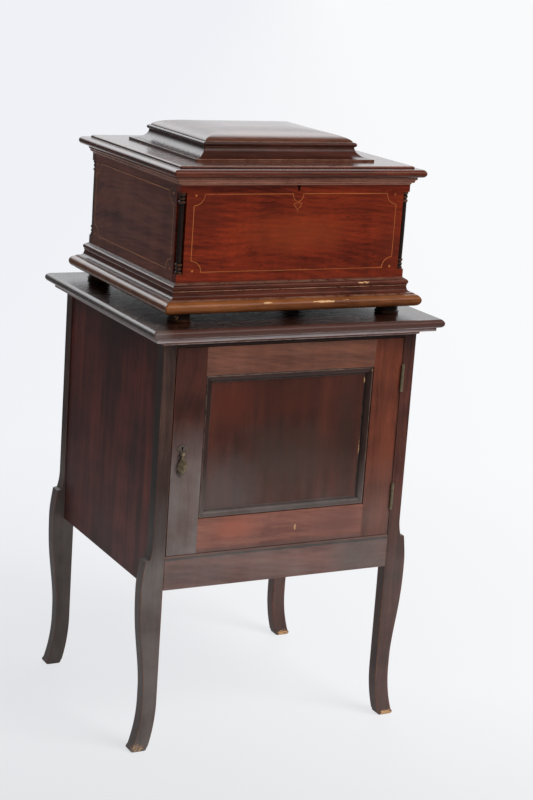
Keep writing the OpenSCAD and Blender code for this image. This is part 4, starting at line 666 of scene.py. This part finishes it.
cove_loop = path([[0, FIELD_Z], [0, COVE_LOW], [2, COVE_LOW]], arc(2, COVE_TOP, 29, 21, 270, 360, 12),
                 [[31.5, COVE_TOP]], arc(31.5, COVE_TOP + 4.5, 4.5, 4.5, 270, 90, 10),
                 [[34.5, DOME_LOW], [39, DOME_LOW], [39, FIELD_Z]])
moulded_board("lid_cap_cove", cove_loop, CAP_X, CAP_Y, 1.2, "cove", "lid", "lid_cove", "mahogany_moulding", 4,
              closed=True, uneven=0.06)

rise = arc(DOME_RUN, 0, DOME_RUN, DOME_H, 176, 90, 28)
dome = path([[20, DOME_LOW], [0, DOME_LOW], [0, DOME_LOW + 1.2]], rise + [0, DOME_LOW])
moulded_board("lid_cap_cushion", dome, DOME_X, DOME_Y, 1.5, "cap", "lid", "lid_dome", "mahogany_box", 5, grow=0.16,
              uneven=0.05)


# Mouldings
def planted(name, profile, half_x, y0, y1, finish, node, four=False):
    """A moulding round the front and both sides of a body, or all four sides, in mitred lengths."""
    shell, ends = Shell(), (1, 1) if four else (1, 0)
    moulding_length(shell, profile, -half_x, half_x, lambda s, out, high: (s, y0 - out, high), seed=1)
    moulding_length(shell, profile, y0, y1, lambda s, out, high: (-half_x - out, s, high), ends, seed=2)
    moulding_length(shell, profile, y0, y1, lambda s, out, high: (half_x + out, s, high), ends, seed=3)
    if four:
        moulding_length(shell, profile, -half_x, half_x, lambda s, out, high: (s, y1 + out, high), seed=4)
    shell.build(name, finish, "cabinet", node, "mahogany_moulding")


z = UNDER_TOP - 19
under_loop = path([[0.05, z], [1.5, z], [4, z + 1]], arc(28.5, z + 3, 24.5, 8, 180, 90, 12),
                  [[28.5, UNDER_TOP - 8], [28.5, UNDER_TOP], [0.05, UNDER_TOP]])
planted("cabinet_cove_moulding", under_loop, HALF_W, FRONT_Y, BACK_Y, "under", "top_moulding")

z = BASE_TOP
skirting_loop = path([[0.05, z], [20.5, z], [20.5, z + 1.4], [18.5, z + 1.4], [18.5, z + 2.4]],
                     arc(18.5, z + 10, 10.56, 7.6, -90, -170, 10), [[6.5, z + 16], [8.1, z + 16], [8.1, z + 17.4]],
                     arc(5.1, z + 23.2, 4.4, 5.4, -65, 75, 12), [[4.7, z + 28.9], [4.7, z + 29.6], [2.8, z + 30]],
                     [[2.8, z + 31], [0.8, z + 31.4], [0.8, z + 32.4], [0.05, z + 32.4]])
planted("box_base_moulding", skirting_loop, CASE_X, -CASE_Y, CASE_Y, "box_moulding", "base_moulding", four=True)

z = CASE_TOP - 15
cornice_loop = path([[0.05, z], [0.8, z]], arc(4.4, z, 3.6, 3.75, 180, 90, 6), [[6.4, z + 5], [6.4, z + 6.4]],
                    arc(10, z + 6.4, 3.6, 4.05, 180, 90, 7), [[10, CASE_TOP], [0.05, CASE_TOP]])
planted("box_cornice_moulding", cornice_loop, CASE_X, -CASE_Y, CASE_Y, "cornice", "case_moulding")


def panel_moulding():
    """The moulding round the door's panel: four lengths inside the frame, mitred inwards. The profile is the
    distance from the frame's edge and the height over the panel."""
    profile = path([[0.05, 0], [0.05, 2.5], [1.4, 2.5], [1.4, 7.9]], arc(2.8, 1, 11.7, 7.7, 90, 8, 10),
                   [[15.5, 1.6], [15.5, 1], [17, 0.8], [17, 0]])[::-1]
    middle, half_h = (DOOR_LOW + DOOR_HIGH) / 2, (DOOR_HIGH - DOOR_LOW) / 2
    shell = Shell()
    sides = ((lambda s, d, h: (s, PANEL_Y - h, DOOR_LOW + d), DOOR_X),
             (lambda s, d, h: (s, PANEL_Y - h, DOOR_HIGH - d), DOOR_X),
             (lambda s, d, h: (-DOOR_X + d, PANEL_Y - h, middle + s), half_h),
             (lambda s, d, h: (DOOR_X - d, PANEL_Y - h, middle + s), half_h))
    for seed, (place, half) in enumerate(sides, 1):
        moulding_length(shell, profile, -half, half, place, (-1, -1), wear=0.35, seed=seed, steps=24, uneven=0.05)
    shell.build("door_panel_moulding", "panel_moulding", "door", "door_moulding", "mahogany_moulding")


panel_moulding()


# Legs
def leg_outline():
    """Outer and inner edge of a leg on the left, as (height, reach past the cabinet's side), from the floor up."""
    t = np.linspace(0, 1, 13)
    flare = np.column_stack([FLARE_LOW + FLARE_H * (1 - t), FLARE_OUT * t ** 2])
    knee = np.column_stack([LEDGE_Z - (LEDGE_Z - KNEE_Z) * t,
                            LEDGE_OUT + (KNEE_OUT - LEDGE_OUT) * np.sin(np.pi / 2 * t)])
    t = np.linspace(0, 1, 33)[1:]
    calf = np.column_stack([KNEE_Z - (KNEE_Z - ANKLE_Z) * t,
                            KNEE_OUT - (KNEE_OUT - ANKLE_OUT) * (1 - np.cos(np.pi * t ** 1.25)) / 2])
    t = np.linspace(0, 0.9, 19)
    toe = np.column_stack([TOE_Z * (1 - t), ANKLE_OUT + (TOE_OUT - ANKLE_OUT) * t ** 2.2])
    tip = arc(TOE_OUT - TIP_R, TIP_R, TIP_R, TIP_R, 0, -90, 8)[:, ::-1]
    outer = np.vstack([[[UNDER_TOP, 0]], flare, knee, calf, toe, tip])[::-1]
    heel_tip = arc(HEEL_IN - STILE_W + TIP_R, TIP_R, TIP_R, TIP_R, -90, -180, 8)[:, ::-1]
    heel = np.column_stack([HEEL_Z * (1 - t), HEEL_IN * t ** 2 - STILE_W])[::-1]
    return outer, np.vstack([heel_tip, heel, [[UNDER_TOP, -STILE_W]]])


def sawn_leg(end, hand, seed, hole=None):
    """A leg sawn from one plank: at each height a rectangle with worn arrises spans the outline's inner and
    outer edge and the plank's thickness, and draws in at the floor. hole is the middle and half width, the
    middle and half height, and the depth of a hole in the inner edge."""
    side = -1 if hand == "left" else 1
    y0 = FRONT_Y if end == "front" else BACK_Y - LEG_T
    outer, inner = leg_outline()
    levels = [outer[:, 0], inner[:, 0], np.linspace(FLARE_LOW + FLARE_H, UNDER_TOP, 40)]
    if hole:
        y_mid, y_half, z_mid, z_half, depth = hole
        levels.append([z_mid - z_half - HOLE_RIM, z_mid - z_half, z_mid + z_half, z_mid + z_half + HOLE_RIM])
    z = np.unique(np.concatenate(levels).round(3))
    z = z[np.concatenate([[True], np.diff(z) > 0.05])]
    a, b = np.interp(z, inner[:, 0], inner[:, 1]), np.interp(z, outer[:, 0], outer[:, 1])
    worn = np.interp(z, [0, 40, 380, 420, UNDER_TOP], [2.6, 2.0, 2.4, 1.0, 0.8])
    r = FOOT_EDGE
    tuck = r - np.sqrt(np.clip(r * r - (r - np.minimum(z, r)) ** 2, 0, r * r))
    xy = ring((b - a) / 2, LEG_T / 2 - tuck, worn, 4, 7)
    if hole:
        across = np.array([y_half + 2, y_half + HOLE_RIM, y_half])
        xy[:, 16:22, 1] = y_mid - y0 - LEG_T / 2 + np.concatenate([across, -across[::-1]])
        xy[np.abs(z - z_mid) < z_half + 0.01, 18:20, 0] += depth
    x = side * (HALF_W + (a + b)[:, None] / 2 + xy[..., 0])
    p = np.stack([x, y0 + LEG_T / 2 + xy[..., 1], np.broadcast_to(z[:, None], x.shape)], axis=-1)
    grain = p[..., [2, 0, 1]] + seed * 53.0
    p[..., 1] -= np.sign(xy[..., 1]) * (wobble(p, 0.15, seed) + 0.15)
    corner = np.tile([0.0] + [1.0] * 3 + [0.0] * 7, 4)
    # The left legs take the copy with painted shade and sheen.
    finish = "leg" if hand == "left" else "right_leg"
    Shell().grid(p, grain, corner).build(f"{end}_{hand}_leg", finish, "cabinet", f"leg_{end}_{hand}",
                                         "mahogany_cabinet", crease=46.0)


sawn_leg("front", "left", 1, BOLT_HOLE)
sawn_leg("front", "right", 2)
sawn_leg("back", "left", 3)
sawn_leg("back", "right", 4)

# Turned work
r, cap, top = COLUMN_R, COLUMN_CAP, COLUMN_LOW + COLUMN_LEN
rings = np.array([[cap, 0], [cap, 4], [r, 6], [cap - 0.6, 9], [cap - 0.6, 12], [r - 0.6, 14], [cap, 17], [cap, 20],
                  [r, 22]])
swell = np.column_stack([r + 0.25 * np.sin(np.linspace(0, np.pi, 9)), np.linspace(COLUMN_LOW + 22, top - 22, 9)])
column = path([[0, COLUMN_LOW]], rings + [0, COLUMN_LOW], swell[1:-1], (rings * [1, -1] + [0, top])[::-1], [[0, top]])
turned_set("corner_columns_turned", column, CASE_X - COLUMN_IN, CASE_Y - COLUMN_IN, 32, 0.7, "column",
           "corner_columns")

r, z = FOOT_R, TOP_Z
foot = path([[0, z], [r - 2, z], [r, z + 2], [r, z + 6]], arc(r, z + 8.5, 2.5, 2.5, 270, 180, 4),
            [[r - 2.5, z + 16], [r, z + 18], [r, z + 21], [0, z + 21]])
turned_set("box_turned_feet", foot, BASE_W / 2 - FOOT_IN, BASE_D / 2 - FOOT_IN, 64, 0.6, "feet", "box_feet")


# String inlay
def string_line(shell, line, face, closed=False):
    """An inlaid string: a flat strip whose edges lie half its width to each side of the line, along the mean
    normal of the pieces that meet at a point. face(a, b, depth) puts it on a board."""
    p = np.asarray(line, float)
    d = (np.roll(p, -1, axis=0) - p) if closed else np.diff(p, axis=0)
    d /= np.linalg.norm(d, axis=1)[:, None]
    before = np.roll(d, 1, axis=0) if closed else np.vstack([d[:1], d])
    after = d if closed else np.vstack([d, d[-1:]])
    mean = before + after
    mean /= np.linalg.norm(mean, axis=1)[:, None]
    stretch = 1 / np.maximum((mean * after).sum(1), 0.5)
    normal = np.column_stack([-mean[:, 1], mean[:, 0]]) * (STRING_W / 2 * stretch)[:, None]
    strip = np.stack([p + normal, p + normal * 0.8, p - normal * 0.8, p - normal], axis=1)
    run = np.concatenate([[0], np.cumsum(np.linalg.norm(np.diff(p, axis=0), axis=1))])[:, None]
    run, depth = np.broadcast_arrays(run, [[-SUNK, PROUD, PROUD, -SUNK]])
    shell.grid(np.stack(face(strip[..., 0], strip[..., 1], depth), axis=-1), np.stack([run, depth, depth], axis=-1),
               closed=closed)


def string_dot(shell, a, b, radius, face):
    """An inlaid dot: a low disc of 20 sides with a sunk rim."""
    angle = full_turn(20)[:, 0]
    r = np.array([[1.0], [0.85]]) * radius
    depth = np.broadcast_to([[-SUNK], [PROUD]], (2, 20))
    p = np.stack(face(a + r * np.cos(angle), b + r * np.sin(angle), depth), axis=-1)
    shell.grid(p, p)


def corner_dots(shell, box, inset, face):
    """A dot inside each corner of an inlaid rectangle."""
    for a in (box[0] + inset, box[1] - inset):
        for b in (box[2] + DOT_UP, box[3] - DOT_UP):
            string_dot(shell, a, b, DOT_R, face)


def notched_corners(a0, a1, b0, b1):
    """The four corners of an inlaid rectangle, each cut by a quarter circle round the corner's own point."""
    return [arc(a, b, NOTCH_R, NOTCH_R, start, start - 90, 10)
            for a, b, start in ((a0, b0, 90), (a1, b0, 180), (a1, b1, 270), (a0, b1, 360))]


def on_front(a, b, depth):
    return a, -CASE_Y - depth, b


strings, side_strings = Shell(), Shell()
low_left, low_right, high_right, high_left = notched_corners(*FRONT_STRING)
drop = np.array([[-11.5, 1133.5], [-11.2, 1128.5], [-9.6, 1124.6], [-6.6, 1121.2], [-2.8, 1118.2], [0, 1116.2]])
tulip = np.array([[0, 1116.2], [4.6, 1114.4], [7.6, 1114.8], [8.6, 1113.4], [7.4, 1110.6], [4.4, 1107.0],
                  [1.6, 1103.6]])
outline = path(drop[::-1], high_left, low_left, low_right, high_right, drop * [-1, 1])
for line in (outline, tulip, tulip * [-1, 1], [[0, 1104.6], [0, 1100.8], [0, 1097.5]]):
    string_line(strings, line, on_front)
string_dot(strings, 0, 1101.4, 1.7, on_front)
corner_dots(strings, FRONT_STRING, 3.5, on_front)
for side in (-1, 1):
    def on_side(a, b, depth, side=side):
        return side * (CASE_X + depth), a, b
    string_line(side_strings, path(*notched_corners(*SIDE_STRING)), on_side, closed=True)
    corner_dots(side_strings, SIDE_STRING, 3.0, on_side)
strings.build("front_string_inlay", "string", "cabinet", slot="inside_wood")
# The side strings take the copy painted lighter.
side_strings.build("side_string_inlay", "side_string_painted_lighter", "cabinet", slot="inside_wood")


# Brass on the door, and the keyhole's lining
def drop_pull():
    """The drop pull: at each height an ellipse whose width and thickness follow the leaf's swell, with a rib
    along the middle of the front; and the eye that it hangs from."""
    t = np.linspace(0, 1, 40)
    swell = np.abs(np.sin(np.radians(169 * t ** 1.35))) ** 1.3
    half_w = PULL_HALF_W * (0.16 + 0.84 * swell)
    half_t = PULL_HALF_T * (0.45 + 0.55 * swell)
    close = np.sqrt(np.clip((1 - t) / 0.06, 0, 1))
    a = full_turn(36)
    x = KEY_X + half_w * close * np.cos(a)
    rib = 0.7 * np.exp(-(half_w * np.cos(a) / 1.6) ** 2) * (np.sin(a) < 0) * close
    y = PULL_Y + half_t * close * np.sin(a) * (0.75 + 0.25 * np.abs(np.sin(a))) - rib * swell
    z = np.broadcast_to(PULL_Z - 1 - (PULL_LEN - 1) * t, x.shape)
    p = np.stack([x, y, z], axis=-1).transpose(1, 0, 2)
    shell = Shell()
    shell.grid(p, p)
    a = full_turn(28)
    prof, _ = soften([[1.1, -2.6], [3.0, -2.6], [3.0, 2.6], [1.1, 2.6]], 0.6)
    eye = np.stack([np.broadcast_to(KEY_X + prof[:, 1], (28, len(prof))), PULL_Y + prof[:, 0] * np.cos(a),
                    PULL_Z + prof[:, 0] * np.sin(a)], axis=-1)
    shell.grid(eye, eye, closed=True)
    shell.build("door_drop_pull", "pull_brass", "drop_pull", "door_pull", "aged_brass")


def keyhole_line(grow, r=2.2, middle=CASE_TOP - 18, slot_low=CASE_TOP - 25):
    """Outline of the lid's keyhole, grown outwards: most of a circle, and a slot with a round end under it."""
    half = r * 0.45 + grow
    a = math.degrees(math.asin(min(half / (r + grow), 1)))
    return path(arc(0, middle, r + grow, r + grow, -90 + a, 270 - a, 24),
                arc(0, slot_low, half, half + 0.2, 180, 360, 8))


def keyhole_lining(proud=0.35, deep=-4.0):
    """A thin lining round the lid's keyhole: a frame between two keyhole outlines."""
    inner = keyhole_line(0.02)
    outer = keyhole_line(1.3)[:len(inner)]
    section = ((inner, deep), (inner, proud * 0.6), (inner * 0.75 + outer * 0.25, proud),
               (outer * 0.75 + inner * 0.25, proud), (outer, proud * 0.5), (outer, deep))
    p = np.stack([np.column_stack([q[:, 0], np.full(len(q), -CASE_Y - d), q[:, 1]]) for q, d in section], axis=1)
    Shell().grid(p, p, closed=True).build("lid_keyhole_lining", "keyhole", "cabinet", slot="aged_brass")


drop_pull()
keyhole_lining()


# CAD pieces that keep their solids
def finish_node(node, finish, bevel):
    """Gives a CAD piece its finish; its triangles are welded, and its arrises rounded by bevel millimetres."""
    piece = frame["nodes"][node]
    for slot in piece.material_slots:
        slot.material = MATERIALS[finish]
    if bevel:
        piece.modifiers.new("weld", "WELD").merge_threshold = 1e-6
        edge = piece.modifiers.new("worn arrises", "BEVEL")
        edge.width, edge.segments = bevel * MM, 2
        edge.limit_method, edge.angle_limit = "ANGLE", math.radians(40)
        edge.use_clamp_overlap, edge.harden_normals = True, False


for nodes, finish, bevel in (
        ("cabinet_sides", "side", 0.5), ("back_board", "inside", 0.4), ("cabinet_floor", "floor_edge", 0.5),
        ("apron", "apron", 0.9), ("back_rail", "apron", 0.6), ("top_rail", "rail", 0.7),
        ("disc_racks", "inside_flat", 0.3), ("door_lock_stile", "lock_stile", 0.7),
        ("door_hinge_stile", "hinge_stile", 0.7), ("door_top_rail", "door_top", 0.3),
        ("door_bottom_rail", "door_low", 0.3), ("door_panel", "panel", 0.3), ("case_front", "box_front", 0.4),
        ("case_back", "box_back", 0.4), ("case_sides", "box_side", 0.3),
        ("door_hinge_frame_leaves door_hinge_leaves", "hinge_brass", 0.15), ("door_escutcheon", "plate_brass", 0.3),
        ("door_lock door_bolt", "aged_brass", 0.3), ("winding_bush", "aged_brass", 0.4),
        ("lid_hinge_case_leaves lid_hinge_leaves", "clean_brass", 0.15), ("lid_strike", "clean_brass", 0.2),
        ("lid_lock start_lever", "clean_brass", 0.3), ("motor_frame", "clean_brass", 0.4),
        ("star_wheels drive_wheel spring_barrel governor_wheel governor_fan", "clean_brass", 0.0),
        ("lid_bolt winding_arbor", "bright_steel", 0.2), ("centre_spindle click", "bright_steel", 0.3),
        ("hold_down_arm", "bright_steel", 0.5), ("combs mainspring", "bright_steel", 0.0),
        ("tune_disc", "disc_steel", 0.0), ("bedplate", "painted_iron", 0.8), ("comb_bases", "painted_iron", 0.6),
        ("star_bridge", "painted_iron", 0.4), ("arm_bracket", "painted_iron", 0.5)):
    for node in nodes.split():
        finish_node(node, finish, bevel)


# Studio
def sweep_nodes(t, direction):
    """How bright the studio is in a direction, for the polish to mirror: a white sweep behind the object,
    brighter towards its top, a dim room with one small window, and a dim ceiling."""
    unit = t.vector("NORMALIZE", direction)
    facing, height = t.dot(unit, BEHIND), t.parts(unit)[2]
    low_sweep = t.stretch(facing, 0.7, 0.94, 0, 0.9)
    aside = t.times(t.stretch(facing, 0.2, 0.5, 0, 3), t.stretch(facing, 0.76, 0.94, 1, 0.57))
    sweep = t.math("MAXIMUM", low_sweep, t.times(aside, t.stretch(height, 0.16, 0.4)))
    ceiling = t.stretch(height, 0.52, 0.74, 1, 0.08)
    room = t.stretch(t.dot(unit, WINDOW), 0.965, 0.99, 0.08, 1.5)
    return [t.times(sweep, ceiling, room)]


SWEEP = new_group("white sweep", sweep_nodes, "Direction", "Strength")


def seen_rays(t):
    """1 for the rays that come from the camera, and 1 for those that the polish mirrors."""
    seen = t.node("LightPath").outputs
    return seen["Is Camera Ray"], t.math("MAXIMUM", seen["Is Glossy Ray"], seen["Is Transmission Ray"])


def background_colour(t, position):
    """Painted shade: cool white at the left, a little whiter at the right, and a shade greyer on the near floor."""
    across, back = t.parts(position)[:2]
    sideways = t.math("SUBTRACT", t.times(across, BEHIND[1]), t.times(back, BEHIND[0]))
    beyond = t.math("ADD", t.times(across, BEHIND[0]), t.times(back, BEHIND[1]))
    far = t.mix(t.stretch(sideways, -1.1, 0.9), BACKDROP_LEFT_PAINTED_SHADE, PALE)
    return t.mix(t.stretch(beyond, -1.1, 0.1, 1, 0), far, FLOOR_NEAR_PAINTED_SHADE)


def studio():
    """A wide pale floor. The camera sees the plain background, darkened by the object's soft shadow near its
    feet; the polish mirrors lit paper near the object and the white sweep further out."""
    mesh = bpy.data.meshes.new("studio_floor")
    corners = [(x * STUDIO, y * STUDIO, 0) for x, y in ((-1, -1), (1, -1), (1, 1), (-1, 1))]
    mesh.from_pydata(corners, [], [(0, 1, 2, 3)])
    floor = add_object("studio_floor", mesh)
    material, t, shader = new_material("pale studio floor", {
        "Base Color": PALE, "Roughness": 0.9, "Specular IOR Level": 0.1})
    position = t.node("TexCoord").outputs["Object"]
    distance = t.length(position)
    steady = t.node("Emission", {"Color": background_colour(t, position), "Strength": 1})
    strength = t.use(SWEEP, Direction=position)["Strength"]
    swept = t.math("ADD", t.stretch(distance, 0.9, 2.6, 0.42, 0), t.times(strength, t.stretch(distance, 0.9, 2.6)))
    mirror = t.node("Emission", {"Color": MIRRORED, "Strength": swept})
    camera_ray, mirrored = seen_rays(t)
    plain = t.times(t.stretch(distance, 0.5, 2, 0.78, 1), camera_ray)
    for_camera = t.mix_shaders(plain, shader.outputs[0], steady.outputs[0])
    output = next(n for n in t.tree.nodes if n.type == "OUTPUT_MATERIAL")
    t.link(t.mix_shaders(mirrored, for_camera, mirror.outputs[0]), output.inputs[0])
    mesh.materials.append(material)


def world():
    """The pale background for the camera, the sweep for the polish, and a soft grey light, weaker from the
    left."""
    w = bpy.data.worlds.new("studio")
    w.use_nodes = True
    w.node_tree.nodes.clear()
    t = Tree(w.node_tree)
    direction = t.node("TexCoord").outputs["Generated"]
    camera_ray, mirrored = seen_rays(t)
    side = t.stretch(t.parts(direction)[0], -0.8, 0.8, 0.2, 0.5)
    soft = t.node("Background", {"Color": SOFT_LIGHT, "Strength": side})
    far_floor = t.vector("MULTIPLY", direction, (STUDIO, STUDIO, STUDIO))
    white = t.node("Background", {"Color": background_colour(t, far_floor), "Strength": 1})
    mirror = t.node("Background", {"Color": MIRRORED, "Strength": t.use(SWEEP, Direction=direction)["Strength"]})
    mixed = t.mix_shaders(mirrored, soft.outputs[0], mirror.outputs[0])
    mixed = t.mix_shaders(camera_ray, mixed, white.outputs[0])
    t.link(mixed, t.node("OutputWorld").inputs[0])
    bpy.context.scene.world = w


def soft_light(name, place, target, width, height, power):
    lamp = bpy.data.lights.new(name, "AREA")
    lamp.shape, lamp.size, lamp.size_y, lamp.energy = "RECTANGLE", width, height, power
    thing = add_object(name, lamp)
    thing.location = place
    thing.rotation_euler = (Vector(target) - Vector(place)).to_track_quat("-Z", "Y").to_euler()
    thing.visible_camera = thing.visible_glossy = False


def camera():
    """The photograph's view: its place, the turns to the right, down and about the line of sight, and a lens whose
    length is the focal distance over the photograph's height, times the sensor."""
    yaw, pitch, roll = (math.radians(a) for a in CAMERA_TURNS)
    data = bpy.data.cameras.new("camera")
    data.sensor_fit, data.sensor_height, data.sensor_width = "VERTICAL", SENSOR, SENSOR
    data.lens = FOCAL_POINTS * SENSOR / PHOTO_HEIGHT
    data.clip_end = 200
    thing = add_object("camera", data)
    turn = Matrix.Rotation(-yaw, 4, "Z") @ Matrix.Rotation(math.pi / 2 - pitch, 4, "X")
    thing.matrix_world = Matrix.Translation(CAMERA_PLACE) @ turn @ Matrix.Rotation(roll, 4, "Z")
    bpy.context.scene.camera = thing


studio()
world()
camera()
soft_light("window_light", (1.5, -2.4, 3), (0, -0.1, 0.75), 2, 2, 100)
soft_light("back_light", (1.9, 3.2, 2.2), (0, 0, 0.9), 2.4, 1.6, 30)
bpy.context.scene.view_settings.view_transform = "Standard"
